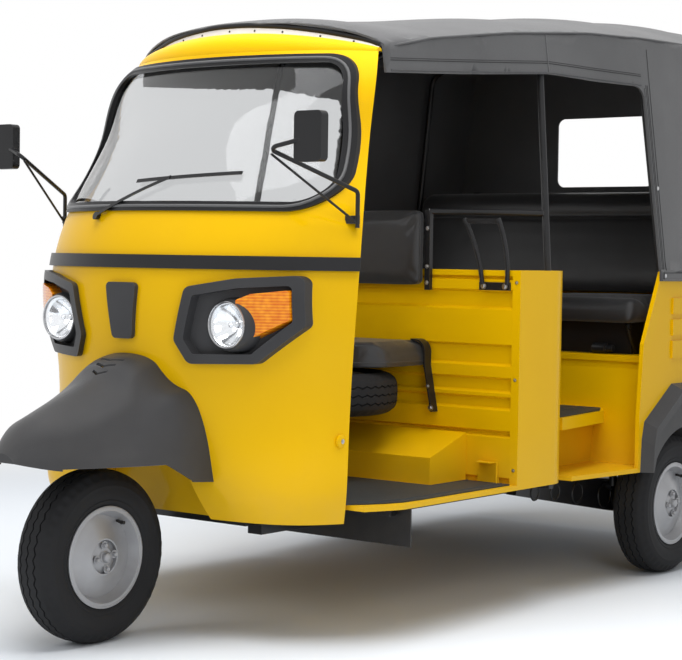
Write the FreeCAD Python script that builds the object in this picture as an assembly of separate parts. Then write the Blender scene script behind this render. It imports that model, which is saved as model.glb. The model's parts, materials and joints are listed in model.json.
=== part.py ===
import FreeCAD, Part
import math
import os

# Three-wheeled auto rickshaw: curved front shell, open cab, partition, passenger room under a hood.
# Lengths are in millimetres. +Z is up, -Y is forward, +X is the vehicle's left (kerb) side.
# Shapes are drawn with the front axle over Y = 0, then moved so the origin is the middle of the footprint.

Vector = FreeCAD.Vector
os.makedirs("parts", exist_ok=True)

# Driving dimensions
overall_length = 3100.0
overall_half_width = 737.5
wheelbase = 2100.0
nose_overhang = 327.0
rear_track = 1213.0
tyre_radius = 237.5
tyre_width = 120.0
seat_gap = 0.2
soft_gap = 0.3
running_gap = 0.05
cut_overrun = 20.0
net_degree = 2

front_axle_y = nose_overhang - overall_length / 2
tail_y = overall_length - nose_overhang
rear_axle_y = wheelbase

# Floor, partition and body lines
sill_height = 372.0
floor_thickness = 14.0
floor_top = sill_height + floor_thickness
partition_y = 1119.0
partition_wall = 6.0
band_depth = 12.0
flange_width = 28.0
column_width = 92.0
column_rear_y = 1425.0
waist_height = 1026.0
cab_half_width = 660.0
tub_half_width = 700.0
tub_rear_y = 2745.0
tub_bottom = sill_height
panel_wall = 14.0
bulkhead_y = 1905.0
bulkhead_foot_y = 1848.0
bulkhead_knee_z = 700.0
shelf_low = 731.0
chassis_top = sill_height - seat_gap
column_front_y = partition_y - band_depth
column_inner_x = cab_half_width - column_width
flange_x = cab_half_width - flange_width


def shapeBox(x0, x1, y0, y1, z0, z1):
    corner = Vector(min(x0, x1), min(y0, y1), min(z0, z1))
    return Part.makeBox(abs(x1 - x0), abs(y1 - y0), abs(z1 - z0), corner)


def roundedLoop(points, radii):
    """Closed wire through flat points, each corner with its own radius."""
    corners = [Vector(*p) for p in points]
    count = len(corners)
    stops = []
    for i, here in enumerate(corners):
        inward = (corners[i - 1] - here).normalize()
        outward = (corners[(i + 1) % count] - here).normalize()
        turn = math.pi - inward.getAngle(outward)
        reach = radii[i] * math.tan(turn / 2)
        if reach > 0:
            way = (inward + outward).normalize()
            centre = here + way * (radii[i] / math.cos(turn / 2))
            stops.append((here + inward * reach, centre - way * radii[i], here + outward * reach))
        else:
            stops.append((here, None, here))
    edges = []
    for i, stop in enumerate(stops):
        if stop[1] is not None:
            edges.append(Part.Arc(*stop).toShape())
        edges.append(Part.makeLine(stop[2], stops[(i + 1) % count][0]))
    return Part.Wire(edges)


def roundedPrism(points, direction, radii):
    if not isinstance(radii, (list, tuple)):
        radii = [radii] * len(points)
    return Part.Face(roundedLoop(points, radii)).extrude(Vector(*direction))


def fromPlan(points, z0, z1, radii=0.0):
    return roundedPrism([(x, y, z0) for x, y in points], (0, 0, z1 - z0), radii)


def fromSide(points, x0, x1, radii=0.0):
    return roundedPrism([(x0, y, z) for y, z in points], (x1 - x0, 0, 0), radii)


def fromFront(points, y0, y1, radii=0.0):
    return roundedPrism([(x, y0, z) for x, z in points], (0, y1 - y0, 0), radii)


def rod(start, end, radius):
    a = Vector(*start)
    b = Vector(*end)
    return Part.makeCylinder(radius, (b - a).Length, a, b - a)


def fuse(shapes):
    result = shapes[0]
    if len(shapes) > 1:
        result = result.fuse(shapes[1:])
    return result.removeSplitter()


def mirrored(shape):
    return shape.mirror(Vector(0, 0, 0), Vector(1, 0, 0))


def both(shape):
    return Part.makeCompound([shape, mirrored(shape)])


def bentTube(points, radius, bend):
    """Round bar through points, with arcs of one bend radius at the corners."""
    loop = [Vector(*p) for p in points]
    edges = []
    start = loop[0]
    for before, here, after in zip(loop, loop[1:], loop[2:]):
        inward = (before - here).normalize()
        outward = (after - here).normalize()
        turn = math.pi - inward.getAngle(outward)
        reach = bend * math.tan(turn / 2)
        first = here + inward * reach
        last = here + outward * reach
        way = (inward + outward).normalize()
        centre = here + way * (bend / math.cos(turn / 2))
        edges.append(Part.makeLine(start, first))
        edges.append(Part.Arc(first, centre - way * bend, last).toShape())
        start = last
    edges.append(Part.makeLine(start, loop[-1]))
    circle = Part.Wire(Part.makeCircle(radius, loop[0], loop[1] - loop[0]))
    return Part.Wire(edges).makePipeShell([circle], True, False)


def smoothCurve(points):
    """Interpolated curve with evenly spaced parameters, so that stacked curves loft without waves."""
    curve = Part.BSplineCurve()
    last = len(points) - 1
    curve.interpolate(Points=points, Parameters=[i / last for i in range(last + 1)])
    return curve.toShape()


def curvedRod(points, radius):
    path = smoothCurve([Vector(*p) for p in points])
    way = path.tangentAt(path.FirstParameter)
    circle = Part.Wire(Part.makeCircle(radius, Vector(*points[0]), way))
    return Part.Wire([path]).makePipeShell([circle], True, False)


def solidFrom(faces):
    shell = Part.makeShell(faces)
    shell.sewShape()
    solid = Part.Solid(shell)
    if solid.Volume < 0:
        solid.reverse()
    return solid


def throughPoints(rows):
    surface = Part.BSplineSurface()
    surface.interpolate(rows)
    return surface


def underNet(rows):
    """Smooth surface that rounds the corners of a net of points."""
    def knotsFor(count):
        spans = count - net_degree
        return [net_degree + 1] + [1] * (spans - 1) + [net_degree + 1], list(range(spans + 1))
    along_counts, along = knotsFor(len(rows))
    across_counts, across = knotsFor(len(rows[0]))
    surface = Part.BSplineSurface()
    surface.buildFromPolesMultsKnots(rows, along_counts, across_counts, along, across, False, False,
                                     net_degree, net_degree)
    return surface


def gridSurface(rows, draw=throughPoints):
    """Smooth face drawn from rows of points, with its first and last row and its two long edges."""
    surface = draw(rows)
    u0, u1, v0, v1 = surface.bounds()
    ends = [surface.uIso(u0).toShape(), surface.uIso(u1).toShape()]
    sides = [surface.vIso(v0).toShape(), surface.vIso(v1).toShape()]
    return surface.toShape(), ends, sides


def gridBlock(rows, back, draw=throughPoints):
    """Solid between a smooth face and the straight lines across its long edges, moved by back."""
    face, ends, sides = gridSurface(rows, draw)
    faces = [face]
    far = [side.copy() for side in sides]
    if back.Length > 0:
        faces += [side.extrude(back) for side in sides]
        for side in far:
            side.translate(back)
    faces.append(Part.makeRuledSurface(far[0], far[1]))
    for end in ends:
        first = end.valueAt(end.FirstParameter)
        last = end.valueAt(end.LastParameter)
        edges = [end]
        if back.Length > 0:
            edges += [Part.makeLine(last, last + back), Part.makeLine(last + back, first + back),
                      Part.makeLine(first + back, first)]
        else:
            edges.append(Part.makeLine(last, first))
        faces.append(Part.Face(Part.Wire(edges)))
    return solidFrom(faces)


def save(name, shape):
    moved = shape.copy()
    moved.translate(Vector(0, front_axle_y, 0))
    solids = moved.Solids
    moved = solids[0] if len(solids) == 1 else Part.makeCompound(solids)
    moved.exportStep("parts/" + name + ".step")
    print(name, len(solids), round(moved.Volume / 1000), moved.isValid())
    return shape


# Front shell: plan curves stacked in height, each a bowed nose that runs back into the side edges
shell_bottom = 334.0
shell_top = 1640.0
shell_half_width = 575.0
shell_edge_y = 416.0
shell_nose_y = 112.0
shell_wall = 14.0
# share of height, nose and edge set back as shares of the half width, width share, bow share
shell_level_shares = [
    (0.0000, 0.190, -0.005, 0.950, 0.30),
    (0.1667, 0.092, 0.000, 0.968, 0.70),
    (0.3333, 0.026, 0.000, 0.985, 0.88),
    (0.5000, -0.003, 0.000, 1.012, 0.84),
    (0.6667, 0.083, 0.110, 0.955, 0.82),
    (0.8333, 0.353, 0.252, 0.880, 0.80),
    (1.0000, 0.619, 0.397, 0.810, 0.80),
]
corner_power = 8
curve_steps = 8


def shellLevel(z):
    """Nose y, edge y, half width and bow share of the shell's outer face at a height."""
    share = (z - shell_bottom) / (shell_top - shell_bottom)
    rows = shell_level_shares
    for low, high in zip(rows, rows[1:]):
        if share <= high[0] or high is rows[-1]:
            t = (share - low[0]) / (high[0] - low[0])
            nose, edge, width, bow = [a + (b - a) * t for a, b in zip(low[1:], high[1:])]
            break
    size = shell_half_width
    return shell_nose_y + nose * size, shell_edge_y + edge * size, size * width, bow


def shellDepth(r, bow):
    return bow * r * r + (1 - bow) * abs(r) ** corner_power


def shellPoint(z, x, inset):
    """Point on the shell's face, moved inward by inset."""
    nose_y, edge_y, half, bow = shellLevel(z)
    r = x / (half - inset)
    return Vector(x, nose_y + inset + (edge_y - nose_y) * shellDepth(r, bow), z)


def shellRow(z, inset):
    half = shellLevel(z)[2] - inset
    row = []
    for i in range(-curve_steps, curve_steps + 1):
        row.append(shellPoint(z, half * math.sin(math.pi / 2 * i / curve_steps), inset))
    return row


def shellBlock(inset, rear_extra):
    """Solid inside the shell's face."""
    height = shell_top - shell_bottom
    rows = [shellRow(shell_bottom + row[0] * height, inset) for row in shell_level_shares]
    return gridBlock(rows, Vector(0, rear_extra, 0))


def shellCavity(inset):
    """The same block, run past its ends and its rear so that it can hollow the shell."""
    block = shellBlock(inset, cut_overrun * 3)
    caps = []
    for face in block.Faces:
        if face.BoundBox.ZLength < seat_gap:
            way = 1 if face.CenterOfMass.z > (shell_bottom + shell_top) / 2 else -1
            caps.append(face.extrude(Vector(0, 0, way * cut_overrun)))
    return block.fuse(caps)


def slab(low, high):
    reach = overall_length
    return shapeBox(-reach, reach, -reach, reach, low, high)


# Windscreen opening, a rounded trapezoid seen from the front, with its rubber and its glass
screen_bottom = 1192.0
screen_top = 1616.0
screen_bottom_half = 517.0
screen_top_half = 443.0
screen_corner = 85.0
gasket_half_width = 13.0
gasket_proud = 7.0
glass_inset = 4.0
glass_thickness = 6.0


def screenPrism(grow):
    low_half = screen_bottom_half + grow
    top_half = screen_top_half + grow
    points = [
        (-low_half, screen_bottom - grow),
        (low_half, screen_bottom - grow),
        (top_half, screen_top + grow),
        (-top_half, screen_top + grow),
    ]
    return fromFront(points, -cut_overrun, shell_edge_y + shell_half_width, screen_corner + grow)


# Wheel well in the front shell: wide at the foot, narrowing under the mudguard
well_foot_half = 228.0
well_foot_z = 329.0
well_half_width = 178.0
well_narrow_z = 437.0
well_rear_y = 268.0
well_roof = 605.0
liner_wall = 3.0


def wellPrism(inset, front_y, rear_y):
    foot = well_foot_half - inset
    half = well_half_width - inset
    roof = well_roof - inset
    outline = [(-foot, 0), (-foot, well_foot_z), (-half, well_narrow_z), (-half, roof),
               (half, roof), (half, well_narrow_z), (foot, well_foot_z), (foot, 0)]
    return fromFront(outline, front_y, rear_y)


def makeFrontShell():
    shell = shellBlock(0, 0).cut(shellCavity(shell_wall))
    well = wellPrism(0, -shell_half_width, well_rear_y + liner_wall)
    holes = [bezelPrism(bezel_hole_inset - seat_gap)]
    holes.append(mirrored(holes[0]))
    return shell.cut([screenPrism(0), well] + holes)


def makeGasket(shell):
    band = slab(screen_bottom - gasket_half_width * 3, shell_top)
    frame = screenPrism(gasket_half_width).cut(screenPrism(-gasket_half_width)).common(band)
    ring = frame.common(shellBlock(-gasket_proud, 0)).cut(shellCavity(shell_wall))
    return ring.cut(shell)


def makeWindscreen():
    glass = screenPrism(-gasket_half_width - seat_gap)
    return glass.common(shellBlock(glass_inset, 0)).cut(shellCavity(glass_inset + glass_thickness))


# Wheel well liner, with the steering head that the column turns in
steer_rake = math.radians(26.0)
steer_foot_y = -95.0
column_radius = 18.0
head_radius = 28.0
head_bottom = 545.0
head_top = 700.0
liner_bottom = 336.0
liner_front_y = 190.0


def axisPoint(z):
    return Vector(0, steer_foot_y + z * math.tan(steer_rake), z)


def alongAxis(z0, z1, radius):
    return rod(axisPoint(z0), axisPoint(z1), radius)


def makeWheelWell():
    rear_y = well_rear_y + liner_wall
    tunnel = wellPrism(seat_gap, liner_front_y, rear_y).common(slab(liner_bottom, well_roof))
    tunnel = tunnel.cut(wellPrism(seat_gap + liner_wall, liner_front_y - cut_overrun, well_rear_y))
    tunnel = tunnel.common(shellBlock(shell_wall + seat_gap, cut_overrun))
    bore = alongAxis(head_bottom - head_radius, head_top + head_radius, column_radius + running_gap)
    return tunnel.fuse(alongAxis(head_bottom, head_top, head_radius)).removeSplitter().cut(bore)


# Front mudguard, fixed to the shell: a spine that widens to the nose and rises to a box with three
# vents, a valley on each side, a ridge from the shoulder down to the nose, and a plain skirt
guard_half_width = 258.0
guard_crown_z = 792.0
guard_tip_z = 440.0
guard_wall = 6.0
guard_rear_y = 235.0
# share of the length, then crown, spine edge, flank, valley, ridge, skirt and foot as width and height shares
guard_section_shares = [
    (0.000, [(0.000, 0.284), (0.054, 0.281), (0.093, 0.270), (0.124, 0.256),
            (0.147, 0.244), (0.167, 0.230), (0.178, 0.216)]),
    (0.101, [(0.000, 0.489), (0.178, 0.466), (0.256, 0.415), (0.302, 0.355),
            (0.333, 0.298), (0.357, 0.233), (0.364, 0.170)]),
    (0.262, [(0.000, 0.625), (0.326, 0.500), (0.426, 0.420), (0.473, 0.341),
            (0.512, 0.267), (0.543, 0.205), (0.566, 0.136)]),
    (0.440, [(0.000, 0.733), (0.333, 0.625), (0.488, 0.540), (0.566, 0.426),
            (0.651, 0.290), (0.736, 0.193), (0.775, 0.097)]),
    (0.582, [(0.000, 0.812), (0.349, 0.733), (0.527, 0.648), (0.612, 0.517),
            (0.721, 0.358), (0.845, 0.199), (0.899, 0.062)]),
    (0.689, [(0.000, 0.960), (0.349, 0.903), (0.473, 0.761), (0.589, 0.682),
            (0.736, 0.545), (0.899, 0.227), (0.953, 0.043)]),
    (0.822, [(0.000, 1.000), (0.360, 0.963), (0.481, 0.830), (0.605, 0.744),
            (0.791, 0.699), (0.915, 0.341), (0.977, 0.017)]),
    (1.000, [(0.000, 1.023), (0.364, 0.989), (0.488, 0.852), (0.620, 0.761),
            (0.822, 0.710), (0.953, 0.341), (1.000, 0.000)]),
]
guard_edge_z = 499.0
guard_edge_front_y = -225.0
guard_edge_rear_y = 48.0
guard_heel_y = 132.0
guard_heel_z = 450.0
vent_pitch = 24.0
vent_half_width = 52.0
vent_slot = 8.0
vent_count = 3
vent_front_y = 8.0
vent_bow = 12.0
vent_low = 560.0


def guardRow(section, inset, first):
    share, cells = section
    y = -nose_overhang + share * (nose_overhang + guard_rear_y)
    y = y + inset if first else y
    keep = 1 - inset / guard_half_width
    right = []
    for width, rise in cells:
        right.append(Vector(guard_half_width * width * keep, y,
                            guard_tip_z + rise * (guard_crown_z - guard_tip_z) - inset))
    left = [Vector(-p.x, p.y, p.z) for p in reversed(right[1:])]
    return left + right


def guardBlock(inset, drop_extra):
    rows = []
    for i, section in enumerate(guard_section_shares):
        rows.append(guardRow(section, inset, i == 0))
    return gridBlock(rows, Vector(0, 0, -drop_extra), underNet)


def makeMudguard():
    right_half = shapeBox(0, overall_half_width, -overall_length, overall_length, 0, shell_top)
    skin = guardBlock(0, 0).cut(guardBlock(guard_wall, cut_overrun)).common(right_half)
    below = fromSide([
        (guard_edge_front_y, 0), (guard_edge_front_y, guard_edge_z), (guard_edge_rear_y, guard_edge_z),
        (guard_heel_y, guard_heel_z), (guard_heel_y, 0),
    ], -overall_half_width, overall_half_width)
    slots = []
    for i in range(vent_count):
        y = vent_front_y + vent_pitch * i
        half = vent_half_width - (vent_count - i) * vent_slot
        outline = [(-half, y + vent_bow), (0, y), (half, y + vent_bow), (half, y + vent_bow + vent_slot),
                   (0, y + vent_slot), (-half, y + vent_bow + vent_slot)]
        slots.append(fromPlan(outline, vent_low, guard_crown_z * 2))
    half = skin.cut([below] + slots).cut(shellCavity(-seat_gap))
    return half.fuse(mirrored(half)).removeSplitter()


# Headlamp bezels, lamps and indicators: each bezel is a rim on the shell with a cup through it
lamp_x = 322.0
lamp_z = 872.0
lamp_radius = 65.0
lamp_depth = 62.0
lamp_face_y = 175.0
lamp_dome = 14.0
bezel_x = 342.0
bezel_z = 876.0
bezel_proud = 18.0
bezel_rim = 26.0
bezel_hole_inset = 20.0
bezel_floor = 10.0
bezel_floor_wall = 6.0
bezel_corner = 24.0
bezel_inner_corner = 12.0
# outlines seen from the front: x and z shares of the bezel's place
bezel_outline_shares = [
    (0.515, 0.945), (0.626, 1.110), (1.023, 1.139), (1.471, 1.151), (1.471, 0.995), (1.135, 0.877), (0.620, 0.872),
]
indicator_outline_shares = [
    (1.029, 1.073), (1.135, 1.092), (1.386, 1.105), (1.386, 1.014), (1.099, 0.951), (1.041, 0.961),
]
indicator_corner = 6.0
indicator_proud = 22.0


def lampOutline(shares, inset):
    """Outline points moved toward their middle by inset."""
    points = [Vector(bezel_x * sx, 0, bezel_z * sz) for sx, sz in shares]
    moved = []
    for i, here in enumerate(points):
        before = (here - points[i - 1]).normalize()
        after = (points[(i + 1) % len(points)] - here).normalize()
        normal_a = Vector(before.z, 0, -before.x)
        normal_b = Vector(after.z, 0, -after.x)
        way = normal_a + normal_b
        way = way * (1 / way.dot(normal_a))
        moved.append(here + way * inset)
    return [(p.x, p.z) for p in moved]


def bezelPrism(inset):
    corner = max(bezel_corner - inset, bezel_inner_corner)
    return fromFront(lampOutline(bezel_outline_shares, inset), 0, shell_edge_y, corner)


def makeLamp(grow):
    rear_y = lamp_face_y + lamp_depth
    body = rod((lamp_x, lamp_face_y, lamp_z), (lamp_x, rear_y, lamp_z), lamp_radius + grow)
    ball_radius = (lamp_radius * lamp_radius + lamp_dome * lamp_dome) / (2 * lamp_dome)
    centre = Vector(lamp_x, lamp_face_y - lamp_dome + ball_radius, lamp_z)
    ball = Part.makeSphere(ball_radius + grow, centre)
    front = rod((lamp_x, lamp_face_y - lamp_dome * 2, lamp_z), (lamp_x, lamp_face_y + lamp_dome, lamp_z),
                lamp_radius + grow)
    return body.fuse(front.common(ball)).removeSplitter()


def makeHeadlampSet():
    front = shellBlock(-bezel_proud, 0)
    rim = bezelPrism(0).common(front).cut(shellCavity(-seat_gap))
    cup = bezelPrism(bezel_hole_inset).common(front).cut(shellCavity(bezel_floor + bezel_floor_wall))
    pocket = bezelPrism(bezel_rim).cut(shellCavity(bezel_floor))
    bezel = rim.fuse(cup).removeSplitter().cut([pocket, makeLamp(seat_gap)])
    outline = fromFront(lampOutline(indicator_outline_shares, 0), 0, shell_edge_y, indicator_corner)
    amber = outline.common(shellBlock(-indicator_proud, 0))
    amber = amber.cut([shellCavity(bezel_floor - seat_gap), makeLamp(seat_gap)])
    return bezel, makeLamp(0), amber


plinth_top_half = 57.0
plinth_bottom_half = 37.0
plinth_low = 826.0
plinth_high = 981.0
plinth_proud = 14.0
plinth_corner = 14.0


def makePlinth():
    points = [(-plinth_bottom_half, plinth_low), (plinth_bottom_half, plinth_low),
              (plinth_top_half, plinth_high), (-plinth_top_half, plinth_high)]
    block = fromFront(points, 0, shell_edge_y, plinth_corner)
    return block.common(shellBlock(-plinth_proud, 0)).cut(shellCavity(-seat_gap))


# Moulding strip round the front
strip_low = 1021.0
strip_high = 1058.0
strip_proud = 9.0


def makeMoulding():
    ring = shellBlock(-strip_proud, 0).common(slab(strip_low, strip_high))
    return ring.cut(shellCavity(-seat_gap))


# Wiper: pivot under the glass, arm and blade bent to the front's curve
wiper_pivot_x = -150.0
wiper_pivot_z = 1165.0
wiper_pivot_radius = 11.0
wiper_arm_end_x = 95.0
wiper_arm_end_z = 1272.0
wiper_arm_half = 4.5
wiper_blade_start_x = -20.0
wiper_blade_end_x = 285.0
wiper_blade_start_z = 1262.0
wiper_blade_end_z = 1284.0
wiper_blade_half = 5.0
blade_lift = 1.0
blade_proud = 11.0
arm_lift = 9.5
arm_proud = 15.0


def shellStrip(x0, z0, x1, z1, half, lift, proud):
    """Strip that follows the shell between two heights above its face."""
    outline = [(x0, z0 - half), (x1, z1 - half), (x1, z1 + half), (x0, z0 + half)]
    strip = fromFront(outline, -shell_half_width, shell_edge_y)
    return strip.common(shellBlock(-proud, 0)).cut(shellCavity(-lift))


def makeWiper():
    blade = shellStrip(wiper_blade_start_x, wiper_blade_start_z, wiper_blade_end_x, wiper_blade_end_z,
                       wiper_blade_half, blade_lift, blade_proud)
    arm = shellStrip(wiper_pivot_x, wiper_pivot_z, wiper_arm_end_x, wiper_arm_end_z, wiper_arm_half,
                     arm_lift, arm_proud)
    pivot = rod((wiper_pivot_x, 0, wiper_pivot_z), (wiper_pivot_x, shell_edge_y, wiper_pivot_z),
                wiper_pivot_radius)
    pivot = pivot.common(shellBlock(-arm_proud, 0)).cut(shellCavity(-seat_gap))
    return blade.fuse([arm, pivot]).removeSplitter()


# Roof header cap over the windscreen
header_wall = 10.0
header_bulge_share = 0.22
header_crown_y = 540.0
header_crown_z = 1702.0
header_corner_y = 662.0
header_corner_z = 1650.0
header_half_width = 462.0
header_stations = 9


def headerSeam(r):
    q = r * r
    return Vector(header_half_width * r, header_crown_y + (header_corner_y - header_crown_y) * q,
                  header_crown_z + (header_corner_z - header_crown_z) * q)


def headerSection(r):
    base = shellPoint(shell_top, header_half_width * r, 0)
    low = Vector(base.x, base.y, shell_top + seat_gap)
    high = headerSeam(r)
    span = high - low
    outer_mid = (low + high) * 0.5 + Vector(0, -span.z, span.y).normalize() * (span.Length * header_bulge_share)
    inward = Vector(0, span.z, -span.y).normalize() * header_wall
    low_in = low + Vector(0, header_wall, 0)
    arc_out = Part.Arc(low, outer_mid, high).toShape()
    arc_in = Part.Arc(high + inward, outer_mid + inward, low_in).toShape()
    return Part.Wire([arc_out, Part.makeLine(high, high + inward), arc_in, Part.makeLine(low_in, low)])


def makeHeader():
    wires = []
    for i in range(header_stations):
        wires.append(headerSection(-1 + 2 * i / (header_stations - 1)))
    return Part.makeLoft(wires, True, False)


# Hood: closed skin with the true outer form, open below, at the sides of the cab and at the entry
hood_wall = 6.0
hood_bottom = waist_height + soft_gap
skirt_bottom = 994.0
skirt_lap = 6.0
hood_quarter_y = 1895.0
hood_rear_y = tub_rear_y + soft_gap + hood_wall
hood_side_x = tub_half_width + soft_gap + hood_wall
hood_half_width = 625.0
hood_seam_z = 1800.0
hood_crown_z = 1945.0
flap_front_z = 1568.0
flap_hoop_z = 1637.0
flap_rear_z = 1634.0
flap_corner = 45.0
hoop_y = 1410.0
window_half_width = 213.0
window_low = 1345.0
window_high = 1612.0
window_corner = 30.0
hood_power = 2.4
hood_cut_share = 1.3
# y share of the rear, seam half width share, seam height share, crown height share, foot share
hood_station_shares = [
    (0.1820, 0.723, 0.897, 0.869, 0.72),
    (0.3183, 0.776, 0.944, 0.914, 0.79),
    (0.4547, 0.832, 0.973, 0.936, 0.86),
    (0.5910, 0.912, 0.992, 0.959, 0.96),
    (0.7273, 0.984, 0.998, 0.979, 1.00),
    (0.8637, 1.008, 1.000, 0.993, 1.00),
    (1.0000, 0.984, 0.992, 1.000, 1.00),
]


def hoodStation(y):
    share = y / hood_rear_y
    rows = hood_station_shares
    for low, high in zip(rows, rows[1:]):
        if share <= high[0] or high is rows[-1]:
            t = (share - low[0]) / (high[0] - low[0])
            seam_x, seam_z, crown, foot = [a + (b - a) * t for a, b in zip(low[1:], high[1:])]
            break
    return hood_half_width * seam_x, hood_seam_z * seam_z, hood_crown_z * crown, hood_side_x * foot


def hoodRow(y, inset):
    seam_x, seam_z, crown, foot = hoodStation(y)
    row = []
    for i in range(-curve_steps, curve_steps + 1):
        r = i / curve_steps
        rise = (crown - seam_z) * (1 - abs(r) ** hood_power)
        row.append(Vector((seam_x - inset) * r, y, seam_z - inset + rise))
    return row


def hoodFoot(y, inset, drop_extra):
    seam_x, seam_z, crown, foot = hoodStation(y)
    slope = (foot - seam_x) / (seam_z - hood_bottom)
    return Vector(foot - inset + slope * drop_extra, y, hood_bottom - drop_extra)


def hoodBlock(inset, front_extra, rear_cut, drop_extra):
    stations = [row[0] * hood_rear_y for row in hood_station_shares]
    stations[0] = stations[0] - front_extra
    stations[-1] = stations[-1] - rear_cut
    top, ends, seams = gridSurface([hoodRow(y, inset) for y in stations])
    left = smoothCurve([hoodFoot(y, inset, drop_extra) for y in stations])
    right = mirrored(left).Edges[0]
    faces = [top, Part.makeRuledSurface(seams[0], right), Part.makeRuledSurface(seams[1], left),
             Part.makeRuledSurface(right, left)]
    for end in ends:
        first = end.valueAt(end.FirstParameter)
        last = end.valueAt(end.LastParameter)
        foot = hoodFoot(first.y, inset, drop_extra)
        other = Vector(-foot.x, foot.y, foot.z)
        faces.append(Part.Face(Part.Wire([end, Part.makeLine(last, foot), Part.makeLine(foot, other),
                                          Part.makeLine(other, first)])))
    return solidFrom(faces)


def headerZone():
    """Everything forward of the header's seam, seen in plan."""
    points = []
    for i in range(-curve_steps, curve_steps + 1):
        seam = headerSeam(hood_cut_share * i / curve_steps)
        points.append(Vector(seam.x, seam.y + seat_gap, 0))
    right = Vector(points[0].x, 0, 0)
    left = Vector(points[-1].x, 0, 0)
    wire = Part.Wire([smoothCurve(points), Part.makeLine(points[-1], left), Part.makeLine(left, right),
                      Part.makeLine(right, points[0])])
    return Part.Face(wire).extrude(Vector(0, 0, hood_crown_z * 2))


def makeSkirt():
    """Lower hem that laps over the outside of the tub."""
    top = hood_bottom + skirt_lap
    outer = shapeBox(-hood_side_x, hood_side_x, hood_quarter_y, hood_rear_y, skirt_bottom, top)
    inside_x = hood_side_x - hood_wall
    inner = shapeBox(-inside_x, inside_x, hood_quarter_y - cut_overrun, hood_rear_y - hood_wall,
                     skirt_bottom - cut_overrun, top + cut_overrun)
    return outer.cut(inner)


def makeHood():
    skin = hoodBlock(0, 0, 0, 0).cut(hoodBlock(hood_wall, cut_overrun, hood_wall, cut_overrun))
    reach = overall_half_width * 2
    front = hood_station_shares[0][0] * hood_rear_y
    side = fromSide([
        (front - cut_overrun, flap_front_z),
        (hoop_y, flap_hoop_z),
        (hood_quarter_y, flap_rear_z),
        (hood_quarter_y, skirt_bottom - cut_overrun),
        (front - cut_overrun, skirt_bottom - cut_overrun),
    ], -reach, reach, [0.0, 0.0, flap_corner, 0.0, 0.0])
    y0 = hood_rear_y - hood_wall - cut_overrun
    window = fromFront([
        (-window_half_width, window_low), (window_half_width, window_low),
        (window_half_width, window_high), (-window_half_width, window_high),
    ], y0, hood_rear_y + cut_overrun, window_corner)
    skin = skin.cut([side, headerZone(), window])
    return skin.fuse(makeSkirt()).removeSplitter()


# Hoops and pillars that carry the hood
tube_radius = 11.0
hoop_bend = 60.0
pillar_foot_x = 612.0
pillar_foot_y = 1338.0
hoop_rear_y = 1930.0
hoop_back_y = 2440.0
hoop_inset_share = 1.2
hoop_top_share = 0.5
tube_foot_z = waist_height + seat_gap


def hoopPath(y, foot_x, foot_y):
    seam_x, seam_z, crown, foot = hoodStation(y)
    inset = hood_wall + tube_radius + soft_gap * 4
    x = seam_x - inset * hoop_inset_share
    z = seam_z - inset
    half_rise = (crown - seam_z) * (1 - hoop_top_share ** hood_power)
    inner_x = x * hoop_top_share
    return [
        (foot_x, foot_y, tube_foot_z - tube_radius),
        (x, y, z - tube_radius),
        (inner_x, y, z + half_rise),
        (-inner_x, y, z + half_rise),
        (-x, y, z - tube_radius),
        (-foot_x, foot_y, tube_foot_z - tube_radius),
    ]


def hoop(y, foot_x, foot_y, grow):
    tube = bentTube(hoopPath(y, foot_x, foot_y), tube_radius + grow, hoop_bend)
    return tube.common(slab(tube_foot_z, hood_crown_z))


def pillarHoop(grow):
    return hoop(hoop_y, pillar_foot_x, pillar_foot_y, grow)


def makeHoodFrame():
    inset = hood_wall + tube_radius + soft_gap * 4
    rear_x = hood_side_x - inset * hoop_inset_share
    return [pillarHoop(0), hoop(hoop_rear_y, rear_x, hoop_rear_y, 0), hoop(hoop_back_y, rear_x, hoop_back_y, 0)]


# Cab floor with its lip, and the tapered box on it
lip_rear_x = cab_half_width
lip_front_y = 525.0
lip_corner_x = 612.0
lip_corner = 90.0
floor_box_half = 476.0
floor_box_front_y = 917.0
floor_box_front_z = 469.0
floor_box_rear_z = 533.0


def makeCabFloor():
    rear = column_front_y - seat_gap
    inner = flange_x - seat_gap
    back = partition_y + partition_wall
    front = shell_edge_y + seat_gap * 10
    right_half = [(-inner, back), (-inner, rear), (-lip_rear_x, rear), (-lip_rear_x, lip_front_y),
                  (-lip_corner_x, front)]
    left_half = [(-x, y) for x, y in reversed(right_half)]
    radii = [0.0, 0.0, 0.0, lip_corner, 0.0, 0.0, lip_corner, 0.0, 0.0, 0.0]
    wide = fromPlan(right_half + left_half, sill_height, floor_top, radii)
    nose = shellBlock(shell_wall + seat_gap, cut_overrun * 2).common(slab(sill_height, floor_top))
    well = shapeBox(-shell_half_width, shell_half_width, 0, well_rear_y + liner_wall + seat_gap, 0, shell_top)
    nose = nose.cut(well)
    box_rear = column_front_y - seat_gap
    box = fromSide([
        (floor_box_front_y, sill_height), (floor_box_front_y, floor_box_front_z),
        (box_rear, floor_box_rear_z), (box_rear, sill_height),
    ], -floor_box_half, floor_box_half)
    hollow = fromSide([
        (floor_box_front_y + liner_wall, sill_height - cut_overrun),
        (floor_box_front_y + liner_wall, floor_box_front_z - liner_wall),
        (box_rear - liner_wall, floor_box_rear_z - liner_wall * 2),
        (box_rear - liner_wall, sill_height - cut_overrun),
    ], -floor_box_half + liner_wall, floor_box_half - liner_wall)
    return wide.fuse([nose, box]).removeSplitter().cut(hollow)


# Passenger floor: low step on the left, raised deck over the rest, riser between them
deck_z = 566.0
deck_front_x = 622.0
deck_knee_x = 575.0
deck_knee_y = 1767.0
deck_rear_x = 490.0
riser_x = 476.0
deck_lip = 38.0
step_lip = 10.0
entry_foot_y = 1777.0


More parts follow.
